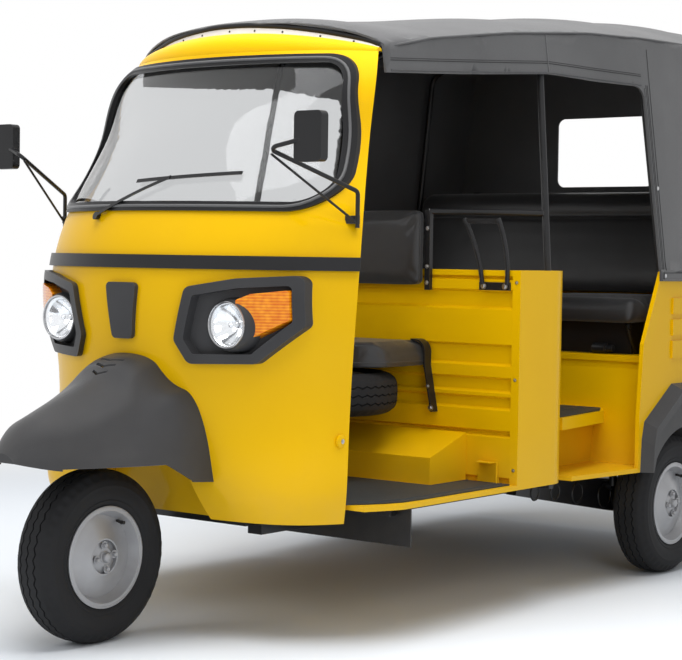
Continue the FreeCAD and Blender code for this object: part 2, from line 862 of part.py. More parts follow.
def makePassengerFloor():
    low_front = column_rear_y + seat_gap
    low_rear = bulkhead_y - seat_gap
    inner_front = partition_y + partition_wall + seat_gap
    side_front = cab_half_width - panel_wall - seat_gap
    side_rear = tub_half_width - panel_wall - seat_gap
    column_x = column_inner_x - seat_gap
    entry_y = entry_foot_y - seat_gap
    outer_x = tub_half_width
    step = fromPlan([
        (riser_x - floor_thickness, low_front), (cab_half_width, low_front), (outer_x, entry_y),
        (side_rear, entry_y), (side_rear, low_rear), (riser_x - floor_thickness, low_rear),
    ], sill_height, floor_top)
    deck = fromPlan([
        (-column_x, inner_front), (column_x, inner_front), (column_x, low_front),
        (deck_front_x, low_front), (deck_knee_x, deck_knee_y), (deck_rear_x, low_rear), (-side_rear, low_rear),
        (-side_front, low_front), (-column_x, low_front),
    ], deck_z - floor_thickness, deck_z)
    lip = fromPlan([
        (deck_front_x - step_lip, low_front), (deck_front_x, low_front), (deck_knee_x, deck_knee_y),
        (deck_rear_x, low_rear), (deck_rear_x - step_lip, low_rear), (deck_knee_x - step_lip, deck_knee_y),
    ], deck_z - deck_lip, deck_z)
    riser = shapeBox(riser_x - floor_thickness, riser_x, low_front, low_rear, sill_height, deck_z)
    front_wall = shapeBox(-column_x, column_x, inner_front, inner_front + step_lip, sill_height, deck_z)
    right_riser = shapeBox(-riser_x, -riser_x + floor_thickness, inner_front, low_rear, sill_height, deck_z)
    floor = fuse([step, deck, lip, riser, front_wall, right_riser])
    behind = fromSide([
        (bulkhead_foot_y - seat_gap, sill_height - cut_overrun), (bulkhead_foot_y - seat_gap, sill_height),
        (bulkhead_y - seat_gap, bulkhead_knee_z), (bulkhead_y + shell_edge_y, bulkhead_knee_z),
        (bulkhead_y + shell_edge_y, sill_height - cut_overrun),
    ], -outer_x, outer_x)
    return floor.cut(behind)


# Partition between cab and passengers, with pressed horizontal bands
partition_top = 1009.0
# low and high ends of each raised band as shares of the partition's height
band_shares = [(0.02, 0.235), (0.246, 0.366), (0.409, 0.448), (0.501, 0.578), (0.660, 0.851), (0.923, 0.99)]
band_slope_share = 0.012
partition_cap = 17.0
cap_overhang = 14.0


def makePartition():
    height = partition_top - floor_top
    y_raised = column_front_y
    half = flange_x - seat_gap
    foot = floor_top + seat_gap
    front = [(partition_y, foot)]
    for low, high in band_shares:
        front.append((partition_y, floor_top + low * height))
        front.append((y_raised, floor_top + (low + band_slope_share) * height))
        front.append((y_raised, floor_top + (high - band_slope_share) * height))
        front.append((partition_y, floor_top + high * height))
    front.append((partition_y, partition_top))
    back = [(y + partition_wall, z) for y, z in reversed(front)]
    sheet = fromSide(front + back, -half, half)
    cap = shapeBox(-half, half, y_raised, partition_y + cap_overhang, partition_top, partition_top + partition_cap)
    return sheet.fuse(cap).removeSplitter()


# Corner columns behind the cab opening, open to the inside
column_corner = 110.0


def columnPrism(inset, z0, z1):
    """The column's plan, run far enough inward for its round corner."""
    far_x = column_inner_x - column_corner
    x1 = cab_half_width - inset
    y0 = column_front_y + inset
    y1 = column_rear_y - inset
    return fromPlan([(far_x, y0), (x1, y0), (x1, y1), (far_x, y1)], z0, z1,
                    [0.0, 0.0, column_corner - inset, 0.0])


def makeColumn():
    wall = panel_wall
    top = waist_height - wall
    body = columnPrism(0, sill_height, waist_height).cut(columnPrism(wall, sill_height - wall, top))
    body = body.common(shapeBox(column_inner_x, cab_half_width, column_front_y, column_rear_y,
                                sill_height, waist_height))
    notch = shapeBox(column_inner_x - wall, flange_x, column_front_y - wall,
                     partition_y + cap_overhang + seat_gap, sill_height - wall, waist_height + wall)
    return body.cut(notch)


# Rear tub: side panels, tail and the closed right side
entry_mid_y = 1797.0
entry_mid_z = 790.0
entry_top_y = 1910.0
arch_outer_shares = [(-1.309, 0.0), (-1.280, 0.406), (-1.217, 0.626), (-0.455, 1.066)]
flare_inner_shares = [(-1.217, 0.0), (-0.989, 0.508), (-0.421, 0.816)]
arch_rise_room = 26.0
door_half_width = 360.0
door_low = 470.0
door_high = 880.0
door_gap = 5.5
side_rib_shares = [(0.16, 0.36), (0.42, 0.60), (0.66, 0.84)]
side_rib_low = 690.0
side_rib_high = 985.0
side_rib_proud = 6.0
side_rib_front_y = 1985.0
tail_hole_x = 90.0
tail_hole_z = 420.0
tail_hole_radius = 3.25
guard_foot_z = 372.0


def archOutline(shares, inset):
    """Arch seen from the side: shares of the tyre's radius from the axle and from the sill."""
    half = []
    for y, z in shares:
        half.append((y * tyre_radius + inset, guard_foot_z + z * (tyre_radius + arch_rise_room) - inset))
    half[0] = (half[0][0], guard_foot_z - cut_overrun)
    near = [(rear_axle_y + y, z) for y, z in half]
    far = [(rear_axle_y - y, z) for y, z in reversed(half)]
    return near + far


def makeTub():
    w = panel_wall
    half = tub_half_width
    rear = tub_rear_y
    left = fromSide([
        (entry_foot_y, tub_bottom), (entry_foot_y, entry_mid_z - tyre_radius), (entry_mid_y, entry_mid_z),
        (entry_top_y, waist_height), (rear, waist_height), (rear, tub_bottom),
    ], half - w, half)
    front_y = column_rear_y + seat_gap
    right = fromPlan([
        (-half, rear), (-half, entry_foot_y), (-cab_half_width, front_y), (-cab_half_width + w, front_y),
        (-half + w, entry_foot_y), (-half + w, rear),
    ], tub_bottom, waist_height)
    tail = shapeBox(-half, half, rear - w, rear, tub_bottom, waist_height)
    ribs = []
    height = side_rib_high - side_rib_low
    for low, high in side_rib_shares:
        z0 = side_rib_low + low * height
        z1 = side_rib_low + high * height
        for side in (-1, 1):
            ribs.append(shapeBox(side * (half - w), side * (half + side_rib_proud), side_rib_front_y,
                                 rear - w, z0, z1))
    tub = fuse([left, right, tail] + ribs)
    radius = tyre_radius + liner_room + liner_sheet + seat_gap
    arches = [archCylinder(radius, half - w * 2, half + w * 2), archCylinder(radius, -half - w * 2, -half + w * 2)]
    door = shapeBox(-door_half_width - door_gap, door_half_width + door_gap, rear - w * 2, rear + w,
                    door_low - door_gap, door_high + door_gap)
    holes = []
    for x in (-tail_hole_x, tail_hole_x):
        holes.append(rod((x, rear - w * 2, tail_hole_z), (x, rear + w, tail_hole_z), tail_hole_radius))
    return tub.cut(arches + [door] + holes)


# Wheel arch flares with their liners
flare_wall = 5.0
flare_inside_x = 524.0
flare_bevel = 22.0
liner_room = 30.0
liner_sheet = 3.0


def archCylinder(radius, x0, x1):
    return rod((x0, rear_axle_y, tyre_radius), (x1, rear_axle_y, tyre_radius), radius)


def flarePrism(shares, inset_low, inset_high, shift):
    """Loft of the arch outline between the tub's face and the outer face."""
    wires = []
    for x, inset in ((tub_half_width + seat_gap, inset_low), (overall_half_width, inset_high)):
        line = archOutline(shares, inset)
        wires.append(Part.makePolygon([Vector(x - shift, y, z) for y, z in line + line[:1]]))
    return Part.makeLoft(wires, True, True)


def makeFlare():
    x1 = overall_half_width
    keep = slab(guard_foot_z, waist_height)
    outer = flarePrism(arch_outer_shares, 0, flare_bevel, 0)
    hollow = flarePrism(arch_outer_shares, flare_wall, flare_bevel + flare_wall, flare_wall)
    lining = fromSide(archOutline(flare_inner_shares, -flare_wall), 0, x1 * 2)
    hole = fromSide(archOutline(flare_inner_shares, 0), 0, x1 * 2)
    inside = tyre_radius + liner_room
    inner_x = tub_half_width + seat_gap
    plate = fromSide(archOutline(flare_inner_shares, -flare_wall), inner_x, inner_x + flare_wall)
    plate = plate.cut(archCylinder(inside, 0, x1))
    face = outer.cut([hollow.cut(lining), hole]).fuse(plate).removeSplitter().common(keep)
    tunnel = archCylinder(inside + liner_sheet, flare_inside_x, tub_half_width)
    tunnel = tunnel.cut(archCylinder(inside, 0, x1)).common(keep)
    return face, tunnel


# Passenger seat: yellow bulkhead and shelf, black frame, cushion and backrest
shelf_thickness = 14.0
shelf_lip = 6.0
shelf_lip_drop = 22.0
cushion_half_width = 620.0
cushion_front_y = 1870.0
cushion_rear_y = 2290.0
cushion_low = 850.0
cushion_high = 944.0
backrest_low = 930.0
backrest_high = 1317.0
backrest_lean = 100.0
backrest_thickness = 95.0
cushion_corner = 30.0
frame_inset = 60.0
frame_bar = 30.0
upright_x = 420.0
upright_half = 14.0


def bulkheadSide(back):
    """The leaning wall's front line, moved back."""
    return [(bulkhead_foot_y + back, sill_height), (bulkhead_y + back, bulkhead_knee_z),
            (bulkhead_y + back, shelf_low)]


def makeSeatBase():
    half = tub_half_width - panel_wall - seat_gap
    rear = tub_rear_y - panel_wall - seat_gap
    wall = fromSide(bulkheadSide(0) + bulkheadSide(panel_wall)[::-1], -half, half)
    shelf = shapeBox(-half, half, bulkhead_y, rear, shelf_low, shelf_low + shelf_thickness)
    top = shelf_low + shelf_thickness
    lip = shapeBox(-half, half, bulkhead_y - shelf_lip, bulkhead_y + shelf_lip, top - shelf_lip_drop, top)
    return fuse([wall, shelf, lip])


def makeSeatFrame():
    """Black frame between shelf and cushion, with the uprights behind the backrest."""
    z0 = shelf_low + shelf_thickness + seat_gap
    z1 = cushion_low - seat_gap
    half = cushion_half_width - frame_inset
    y0 = bulkhead_y + frame_inset
    y1 = cushion_rear_y - frame_bar
    bars = [
        shapeBox(-half, half, y0, y0 + frame_bar, z0, z1),
        shapeBox(-half, half, y1 - frame_bar, y1, z0, z1),
        shapeBox(-half, -half + frame_bar, y0, y1, z0, z1),
        shapeBox(half - frame_bar, half, y0, y1, z0, z1),
    ]
    back_low = cushion_rear_y + soft_gap + backrest_thickness
    slope = backrest_lean / (backrest_high - backrest_low)
    foot_y = back_low + (z0 - backrest_low) * slope + seat_gap
    head_y = back_low + backrest_lean + seat_gap
    for x in (-upright_x, upright_x):
        bars.append(fromSide([
            (foot_y, z0), (head_y, backrest_high), (head_y + frame_bar, backrest_high),
            (foot_y + frame_bar, z0),
        ], x - upright_half, x + upright_half))
        bars.append(shapeBox(x - upright_half, x + upright_half, y1 - frame_bar, foot_y + frame_bar,
                             z0, z0 + frame_bar))
    return fuse(bars)


def makeCushion():
    half = cushion_half_width
    return fromPlan([(-half, cushion_front_y), (half, cushion_front_y), (half, cushion_rear_y),
                     (-half, cushion_rear_y)], cushion_low, cushion_high, cushion_corner)


def makeBackrest():
    y0 = cushion_rear_y + soft_gap
    return fromSide([
        (y0, backrest_low), (y0 + backrest_thickness, backrest_low),
        (y0 + backrest_thickness + backrest_lean, backrest_high), (y0 + backrest_lean, backrest_high),
    ], -cushion_half_width, cushion_half_width)


# Driver's seat and backrest, carried by the partition
driver_half_width = 336.0
driver_front_y = 800.0
driver_low = 726.0
driver_high = 806.0
driver_corner = 110.0
driver_rear_corner = 12.0
driver_edge = 34.0
driver_low_edge = 6.0
pad_half_width = 322.0
pad_low = 974.0
pad_high = 1208.0
pad_thickness = 55.0


def driverSection(grow, y0, y1):
    """The seat's rounded cross-section, run from y0 to y1."""
    half = driver_half_width + grow
    low = driver_low - grow
    high = driver_high + grow
    return fromFront([(-half, low), (half, low), (half, high), (-half, high)], y0, y1,
                     [driver_low_edge, driver_low_edge, driver_edge + grow, driver_edge + grow])


def makeDriverSeat():
    rear = column_front_y - seat_gap
    half = driver_half_width
    plan = fromPlan([(-half, driver_front_y), (half, driver_front_y), (half, rear), (-half, rear)],
                    driver_low, driver_high, [driver_corner, driver_corner, driver_rear_corner,
                                              driver_rear_corner])
    return plan.common(driverSection(0, driver_front_y, rear))


def makeDriverPad():
    rear = column_front_y - seat_gap
    half = pad_half_width
    return fromFront([(-half, pad_low), (half, pad_low), (half, pad_high), (-half, pad_high)],
                     rear - pad_thickness, rear, cushion_corner)


# Black steel on the partition: pad brackets, seat brackets, rail with guard bars on the left
post_half = 9.0
post_depth = 16.0
post_top = 1206.0
post_low = 962.0
rail_z = 1203.0
rail_radius = 9.0
bar_radius_small = 7.0
plate_x0 = 518.0
plate_x1 = 626.0
plate_low = 966.0
plate_high = 990.0
plate_thickness = 8.0
bar_top_x = 461.0
bar_top_pitch = 122.0
bar_top_z = 1180.0
bar_foot_x = 529.0
bar_foot_pitch = 88.0
bar_bow = 12.0
wedge_height = 14.0
strap_width = 34.0
strap_thickness = 5.0
strap_foot_z = 590.0
strap_foot_out = 28.0
strap_lap = 50.0
spare_x = 100.0
spare_y = 862.0
spare_low = 586.0


def makeStrap():
    """Flat strap from the partition over the end of the driver's seat."""
    y1 = column_front_y - seat_gap
    y0 = y1 - strap_width
    inner = driver_half_width + seat_gap
    outer = inner + strap_thickness
    wrap = driverSection(seat_gap + strap_thickness, y0, y1).cut(driverSection(seat_gap, y0, y1))
    wrap = wrap.common(shapeBox(driver_half_width - strap_lap, outer, y0, y1, driver_low, driver_high * 2))
    tail = fromFront([(inner, driver_low + strap_thickness), (outer, driver_low + strap_thickness),
                      (outer + strap_foot_out, strap_foot_z), (inner + strap_foot_out, strap_foot_z)], y0, y1)
    return wrap.fuse(tail).removeSplitter()


def makeGuardBars():
    face = column_front_y - seat_gap
    bracket_x = pad_half_width + seat_gap + post_half
    posts = []
    for x in (-bracket_x, bracket_x):
        posts.append(shapeBox(x - post_half, x + post_half, face - post_depth, face, post_low, post_top))
    rail_start = (bracket_x, face - post_depth / 2, rail_z)
    foot, head = [Vector(*point) for point in hoopPath(hoop_y, pillar_foot_x, pillar_foot_y)[:2]]
    rail_end = foot + (head - foot) * ((rail_z - foot.z) / (head.z - foot.z))
    rail = rod(rail_start, rail_end, rail_radius).cut(pillarHoop(seat_gap))
    plate_y = face - plate_thickness
    plate = shapeBox(plate_x0, plate_x1, plate_y, face, plate_low, plate_high)
    bars = []
    for i in range(2):
        top = Vector(bar_top_x + bar_top_pitch * i, plate_y, bar_top_z)
        low = Vector(bar_foot_x + bar_foot_pitch * i, plate_y, plate_high - bar_radius_small)
        middle = (top + low) * 0.5 + Vector(bar_bow, 0, 0)
        bars.append(curvedRod([top, middle, low], bar_radius_small))
    wedge = fromFront([
        (bar_top_x, bar_top_z - wedge_height), (bar_top_x + bar_top_pitch, bar_top_z - wedge_height),
        (bar_top_x + bar_top_pitch, bar_top_z), (bar_top_x, bar_top_z),
    ], plate_y - plate_thickness / 2, plate_y + plate_thickness / 2)
    guard = fuse([plate, wedge] + bars)
    left = fuse([posts[1], rail])
    strap = makeStrap()
    return Part.makeCompound([posts[0], left, guard, strap, mirrored(strap)])


# Spare wheel, lying flat on a stand
stand_radius = 26.0
stand_plate_radius = 78.0
stand_plate = 6.0


def makeSpareStand():
    top = spare_low + tyre_width / 2 + sidewall_bulge + disc_x - rim_sheet - seat_gap
    stem = rod((spare_x, spare_y, floor_top + seat_gap), (spare_x, spare_y, top), stand_radius)
    plate = rod((spare_x, spare_y, top - stand_plate), (spare_x, spare_y, top), stand_plate_radius)
    return stem.fuse(plate).removeSplitter()


# Wheels
rim_radius = 138.0
rim_half_width = 56.0
rim_lip = 5.0
rim_sheet = 4.0
bead_depth = 8.0
well_depth = 14.0
well_half = 20.0
disc_x = 26.0
hub_radius = 50.0
dome_rise = 24.0
axle_radius = 13.0
axle_room = 10.0
drum_radius = 95.0
drum_depth = 44.0
sidewall_bulge = 3.0
shoulder_drop = 8.0
shoulder_low = 26.0
shoulder_in = 18.0
bead_rise = 12.0


def revolved(points, centre):
    """Solid of revolution about an X axis through centre, from (x, radius) points."""
    loop = [Vector(x, 0, r) for x, r in points]
    wire = Part.makePolygon(loop + [loop[0]])
    body = Part.Face(wire).revolve(Vector(0, 0, 0), Vector(1, 0, 0), 360)
    body = Part.Solid(body) if body.ShapeType == "Shell" else body
    body.translate(Vector(*centre))
    return body


def placeWheel(body, centre, side):
    placed = mirrored(body) if side < 0 else body.copy()
    placed.translate(Vector(*centre))
    return placed


def tyreBody():
    half = tyre_width / 2
    outer = tyre_radius
    middle = (rim_radius + outer) / 2
    inner = rim_half_width - rim_lip - seat_gap
    left = [
        (-inner, rim_radius - bead_depth),
        (-inner, rim_radius + seat_gap),
        (-half + sidewall_bulge, rim_radius + bead_rise),
        (-half - sidewall_bulge, middle),
        (-half + sidewall_bulge, outer - shoulder_low),
        (-half + shoulder_in, outer - shoulder_drop),
        (-half / 3, outer),
    ]
    return revolved(left + [(-x, r) for x, r in reversed(left)], (0, 0, 0))


def rimBody(with_hub):
    half = rim_half_width
    seat = rim_radius - bead_depth - seat_gap
    well = seat - well_depth
    barrel = [
        (-half, rim_radius), (-half + rim_lip, rim_radius), (-half + rim_lip, seat), (-well_half, well),
        (well_half, well), (half - rim_lip, seat), (half - rim_lip, rim_radius), (half, rim_radius),
        (half, seat - rim_sheet), (well_half + rim_sheet, well - rim_sheet),
        (-well_half - rim_sheet, well - rim_sheet), (-half, seat - rim_sheet),
    ]
    disc = [
        (disc_x - rim_sheet, hub_radius - rim_sheet), (disc_x - rim_sheet, well - rim_sheet / 2),
        (disc_x, well - rim_sheet / 2), (disc_x + dome_rise, hub_radius),
        (disc_x + dome_rise, hub_radius - rim_sheet),
    ]
    parts = [revolved(barrel, (0, 0, 0)), revolved(disc, (0, 0, 0))]
    if with_hub:
        hub = [
            (-half, 0), (-half, drum_radius), (-half + drum_depth, drum_radius), (-half + drum_depth, hub_radius),
            (disc_x + dome_rise / 2, hub_radius), (disc_x + dome_rise, hub_radius / 2), (disc_x + dome_rise, 0),
        ]
        parts.append(revolved(hub, (0, 0, 0)))
    body = fuse(parts)
    if with_hub:
        bore = rod((-half - cut_overrun, 0, 0), (disc_x + axle_room, 0, 0), axle_radius + running_gap)
        body = body.cut(bore)
    return body


front_hub = (0, 0, tyre_radius)
left_hub = (rear_track / 2, rear_axle_y, tyre_radius)
right_hub = (-rear_track / 2, rear_axle_y, tyre_radius)


def layFlat(body):
    flat = body.copy()
    flat.rotate(Vector(0, 0, 0), Vector(0, 1, 0), -90)
    flat.translate(Vector(spare_x, spare_y, spare_low + tyre_width / 2 + sidewall_bulge))
    return flat


# Steering: column, single-sided fork on the right, and handlebar
fork_x = 112.0
fork_radius = 19.0
fork_bend = 34.0
column_low = 512.0
column_high = 1040.0
fork_head_rise = 8.0
fork_elbow_drop = 26.0
fork_knee_y = 60.0
fork_knee_z = 330.0
plate_radius = 42.0
plate_gap = 6.0
bar_rise = 22.0
bar_half = 290.0
bar_radius = 11.0
bar_bend = 40.0
bar_knee_share = 0.62
bar_centre_share = 0.2
bar_sweep = 150.0
bar_knee_sweep = 90.0
headset_half = 78.0
headset_front = 52.0
headset_rear = 72.0
headset_height = 70.0
headset_corner = 25.0


def makeFork():
    low = axisPoint(column_low)
    column = alongAxis(column_low, column_high, column_radius)
    leg = bentTube([
        (0, low.y, column_low + fork_head_rise),
        (-fork_x, low.y, column_low - fork_elbow_drop),
        (-fork_x, fork_knee_y, fork_knee_z),
        (-fork_x, 0, tyre_radius),
    ], fork_radius, fork_bend)
    axle = rod((-fork_x, 0, tyre_radius), (disc_x, 0, tyre_radius), axle_radius)
    plate = rod((-fork_x - plate_gap, 0, tyre_radius), (-rim_half_width - plate_gap, 0, tyre_radius), plate_radius)
    return column.fuse([leg, axle, plate]).removeSplitter()


def barPath():
    top = axisPoint(column_high)
    z = column_high + bar_rise
    half = [
        (bar_half * bar_centre_share, top.y, z),
        (bar_half * bar_knee_share, top.y + bar_knee_sweep, z),
        (bar_half, top.y + bar_sweep, z),
    ]
    return [(-x, y, zz) for x, y, zz in reversed(half)] + half


def makeHandlebar():
    return bentTube(barPath(), bar_radius, bar_bend)


def makeHeadset():
    top = axisPoint(column_high)
    z0 = column_high - headset_height / 2
    body = fromPlan([
        (-headset_half, top.y - headset_front), (headset_half, top.y - headset_front),
        (headset_half, top.y + headset_rear), (-headset_half, top.y + headset_rear),
    ], z0, z0 + headset_height * 1.5, headset_corner)
    column = alongAxis(column_low, column_high + seat_gap, column_radius + running_gap)
    return body.cut([column, bentTube(barPath(), bar_radius + running_gap, bar_bend)])


# Chassis rails and cross-members, with the engine's brackets
rail_x = 300.0
rail_half = 25.0
rail_low = 290.0
rail_front_y = 330.0
rail_rear_y = 2640.0
cross_y_shares = [0.12, 0.40, 0.54, 0.71]
outrigger_ys = [560.0, 1390.0]
outrigger_half_share = 0.92
engine_half_width = 190.0
engine_front_y = 2050.0
engine_rear_y = 2520.0
engine_low = 215.0
engine_high = 640.0
engine_bracket_half = 20.0


def makeChassis():
    top = chassis_top
    parts = []
    for side in (-1, 1):
        parts.append(shapeBox(side * rail_x - rail_half, side * rail_x + rail_half, rail_front_y, rail_rear_y,
                              rail_low, top))
        for y in (engine_front_y + rail_half * 2, engine_rear_y - rail_half * 2):
            parts.append(shapeBox(side * (engine_half_width + seat_gap), side * rail_x, y - engine_bracket_half,
                                  y + engine_bracket_half, rail_low + rail_half, top))
    for share in cross_y_shares:
        y = rail_rear_y * share
        parts.append(shapeBox(-rail_x, rail_x, y - rail_half, y + rail_half, rail_low + rail_half, top))
    parts.append(shapeBox(-rail_x, rail_x, rail_rear_y - rail_half * 2, rail_rear_y, rail_low + rail_half, top))
    reach = cab_half_width * outrigger_half_share
    for y in outrigger_ys:
        parts.append(shapeBox(-reach, reach, y - rail_half / 2, y + rail_half / 2, top - rail_half, top))
    return fuse(parts + makeBumper())


# Trailing arms with their pivots and stub axles, and the half shafts between engine and arms
arm_x0 = 420.0
arm_x1 = 456.0
arm_pivot_y = 1480.0
arm_pivot_z = 333.0
arm_front_y = 1425.0
arm_rear_y = 2150.0
pivot_radius = 18.0
arm_outline_shares = [(0.00, 1.30), (0.02, 1.53), (0.10, 1.545), (0.93, 1.27), (1.00, 1.10), (0.98, 0.86), (0.86, 0.83)]
hub_plate_radius = 60.0
shaft_radius = 14.0


def makeArm():
    length = arm_rear_y - arm_front_y
    outline = [(arm_front_y + y * length, z * tyre_radius) for y, z in arm_outline_shares]
    beam = fromSide(outline, arm_x0, arm_x1)
    pivot = rod((rail_x + rail_half + seat_gap, arm_pivot_y, arm_pivot_z), (arm_x1, arm_pivot_y, arm_pivot_z),
                pivot_radius)
    axle = rod((arm_x0, rear_axle_y, tyre_radius), (rear_track / 2 + disc_x, rear_axle_y, tyre_radius), axle_radius)
    plate_x = rear_track / 2 - rim_half_width - plate_gap
    plate = rod((arm_x1 - liner_wall, rear_axle_y, tyre_radius), (plate_x, rear_axle_y, tyre_radius), hub_plate_radius)
    return fuse([beam, pivot, axle, plate])


def makeHalfShaft():
    return rod((engine_half_width + seat_gap, rear_axle_y, tyre_radius), (arm_x0 - seat_gap, rear_axle_y, tyre_radius),
               shaft_radius)


# Springs with dampers between arms and shelf
damper_y = 2010.0
damper_x = 478.0
damper_low = 290.0
spring_radius = 26.0
damper_radius = 14.0
spring_low = 330.0
spring_high = 640.0
spring_turns = 8


def makeDamper():
    top = shelf_low - seat_gap
    core = rod((damper_x, damper_y, damper_low), (damper_x, damper_y, top), damper_radius)
    foot = rod((arm_x1 + seat_gap, damper_y, damper_low), (damper_x, damper_y, damper_low), damper_radius)
    pitch = (spring_high - spring_low) / spring_turns
    rings = []
    for i in range(spring_turns):
        z = spring_low + pitch * i
        rings.append(rod((damper_x, damper_y, z), (damper_x, damper_y, z + pitch / 2), spring_radius))
    return fuse([core, foot] + rings)


def makeEngine():
    return shapeBox(-engine_half_width, engine_half_width, engine_front_y, engine_rear_y, engine_low, engine_high)


# Silencer behind the engine, hung on the last cross-member
silencer_radius = 46.0
silencer_half = 210.0
silencer_y = 2694.0
silencer_z = 318.0
hanger_x = 150.0
hanger_half = 8.0


def makeSilencer():
    body = rod((-silencer_half, silencer_y, silencer_z), (silencer_half, silencer_y, silencer_z), silencer_radius)
    hangers = []
    for x in (-hanger_x, hanger_x):
        hangers.append(shapeBox(x - hanger_half, x + hanger_half, rail_rear_y + seat_gap, silencer_y,
                                silencer_z, chassis_top))
    return fuse([body] + hangers)


# Engine door at the tail and its hinges
hinge_x = 240.0
hinge_half = 30.0
barrel_half = 9.7
barrel_radius = 7.0
barrel_stand = 1.0
pin_radius = 3.5
hinge_y = tub_rear_y + barrel_radius + barrel_stand
hinge_z = door_high + door_gap / 2
leaf_height = 30.0
leaf_thickness = 3.0
louvre_count = 6
louvre_pitch = 44.0
louvre_height = 12.0
louvre_half = 250.0
louvre_low = 540.0


def hingeBarrel(x0, x1):
    return rod((x0, hinge_y, hinge_z), (x1, hinge_y, hinge_z), barrel_radius)


def makeDoorHinges():
    """Fixed leaves, knuckles and pins above the door."""
    face = tub_rear_y + seat_gap
    low = hinge_z + barrel_radius + barrel_stand
    sets = []
    for x in (-hinge_x, hinge_x):
        parts = []
        for side in (-1, 1):
            a = x + side * hinge_half
            b = x + side * (barrel_half + soft_gap)
            parts.append(hingeBarrel(min(a, b), max(a, b)))
            parts.append(shapeBox(a, b, face, hinge_y, hinge_z + door_gap / 2 + seat_gap, low + leaf_thickness))
        leaf = shapeBox(x - hinge_half, x + hinge_half, face, tub_rear_y + leaf_thickness, low, hinge_z + leaf_height)
        pin = rod((x - hinge_half, hinge_y, hinge_z), (x + hinge_half, hinge_y, hinge_z), pin_radius)
        sets.append(leaf.fuse(parts + [pin]).removeSplitter())
    return Part.makeCompound(sets)


def makeEngineDoor():
    door = shapeBox(-door_half_width, door_half_width, tub_rear_y - panel_wall, tub_rear_y, door_low, door_high)
    parts = []
    cuts = []
    for x in (-hinge_x, hinge_x):
        parts.append(hingeBarrel(x - barrel_half, x + barrel_half))
        parts.append(shapeBox(x - barrel_half, x + barrel_half, tub_rear_y, tub_rear_y + leaf_thickness,
                              hinge_z - leaf_height, hinge_z))
        cuts.append(rod((x - hinge_half, hinge_y, hinge_z), (x + hinge_half, hinge_y, hinge_z),
                        pin_radius + running_gap))
    for i in range(louvre_count):
        z = louvre_low + louvre_pitch * i
        cuts.append(shapeBox(-louvre_half, louvre_half, tub_rear_y - panel_wall * 2, tub_rear_y + panel_wall,
                             z, z + louvre_height))
    return door.fuse(parts).cut(cuts)


# Tail lamps and rear bumper
tail_lamp_x = 610.0
tail_lamp_half = 34.0
tail_lamp_low = 600.0
tail_lamp_high = 760.0
tail_lamp_proud = 26.0
tail_lamp_corner = 12.0
bumper_radius = 13.0
bumper_half = 560.0
bumper_z = 345.0


def makeTailLamp():
    x = tail_lamp_x
    half = tail_lamp_half
    return fromFront([(x - half, tail_lamp_low), (x + half, tail_lamp_low), (x + half, tail_lamp_high),
                      (x - half, tail_lamp_high)], tub_rear_y + seat_gap, tub_rear_y + tail_lamp_proud,
                     tail_lamp_corner)


def makeBumper():
    y = tail_y - bumper_radius
    bar = rod((-bumper_half, y, bumper_z), (bumper_half, y, bumper_z), bumper_radius)
    stubs = []
    for x in (-rail_x, rail_x):
        stubs.append(rod((x, rail_rear_y - rail_half, bumper_z), (x, y, bumper_z), bumper_radius))
    return [bar] + stubs


# Rubber flap under the front of the floor
flap_half = 650.0
flap_y = 580.0
flap_low = 262.0
flap_thickness = 5.0


def makeMudFlap():
    flap = shapeBox(-flap_half, flap_half, flap_y, flap_y + flap_thickness, flap_low, sill_height - seat_gap)
    slots = []
    for side in (-1, 1):
        slots.append(shapeBox(side * rail_x - rail_half - seat_gap, side * rail_x + rail_half + seat_gap,
                              flap_y - cut_overrun, flap_y + cut_overrun, rail_low - seat_gap, sill_height))
    return flap.cut(slots)


# Brake pedal on the floor
pedal_x = -150.0
pedal_y = 470.0
pedal_half = 32.0
pedal_arm = 7.0
pedal_reach = 70.0
pedal_rise = 85.0
pedal_pad = 10.0


def makePedal():
    foot_z = floor_top + seat_gap
    arm = rod((pedal_x, pedal_y, foot_z), (pedal_x, pedal_y - pedal_reach / 2, foot_z + pedal_rise), pedal_arm)
    base = shapeBox(pedal_x - pedal_half / 2, pedal_x + pedal_half / 2, pedal_y - pedal_half / 2,
                    pedal_y + pedal_half / 2, foot_z, foot_z + pedal_pad)
    pad = shapeBox(pedal_x - pedal_half, pedal_x + pedal_half, pedal_y - pedal_reach,
                   pedal_y - pedal_reach / 4, foot_z + pedal_rise - pedal_pad, foot_z + pedal_rise)
    return fuse([arm.common(slab(foot_z, shell_top)), base, pad])


# Mirrors on bent arms in front of the side openings
stem_x = 566.0
stem_y = 428.0
stem_low = 1138.0
stem_high = 1236.0
elbow_x = 472.0
elbow_y = 160.0
elbow_z = 1340.0
head_x = 583.0
head_y = 205.0
head_z = 1371.0
arm_radius = 6.0
arm_bend = 14.0
stay_radius = 3.5
stay_share = 0.12
head_half_width = 46.0
head_half_height = 66.0
head_depth = 28.0
head_corner = 14.0
head_lap = 10.0
bracket_depth = 34.0
bracket_half = 11.0
bracket_z = 1160.0


def mirrorArm(grow):
    return bentTube([
        (stem_x, stem_y, stem_low),
        (stem_x, stem_y, stem_high),
        (elbow_x, elbow_y, elbow_z),
        (head_x, head_y, head_z),
    ], arm_radius + grow, arm_bend)


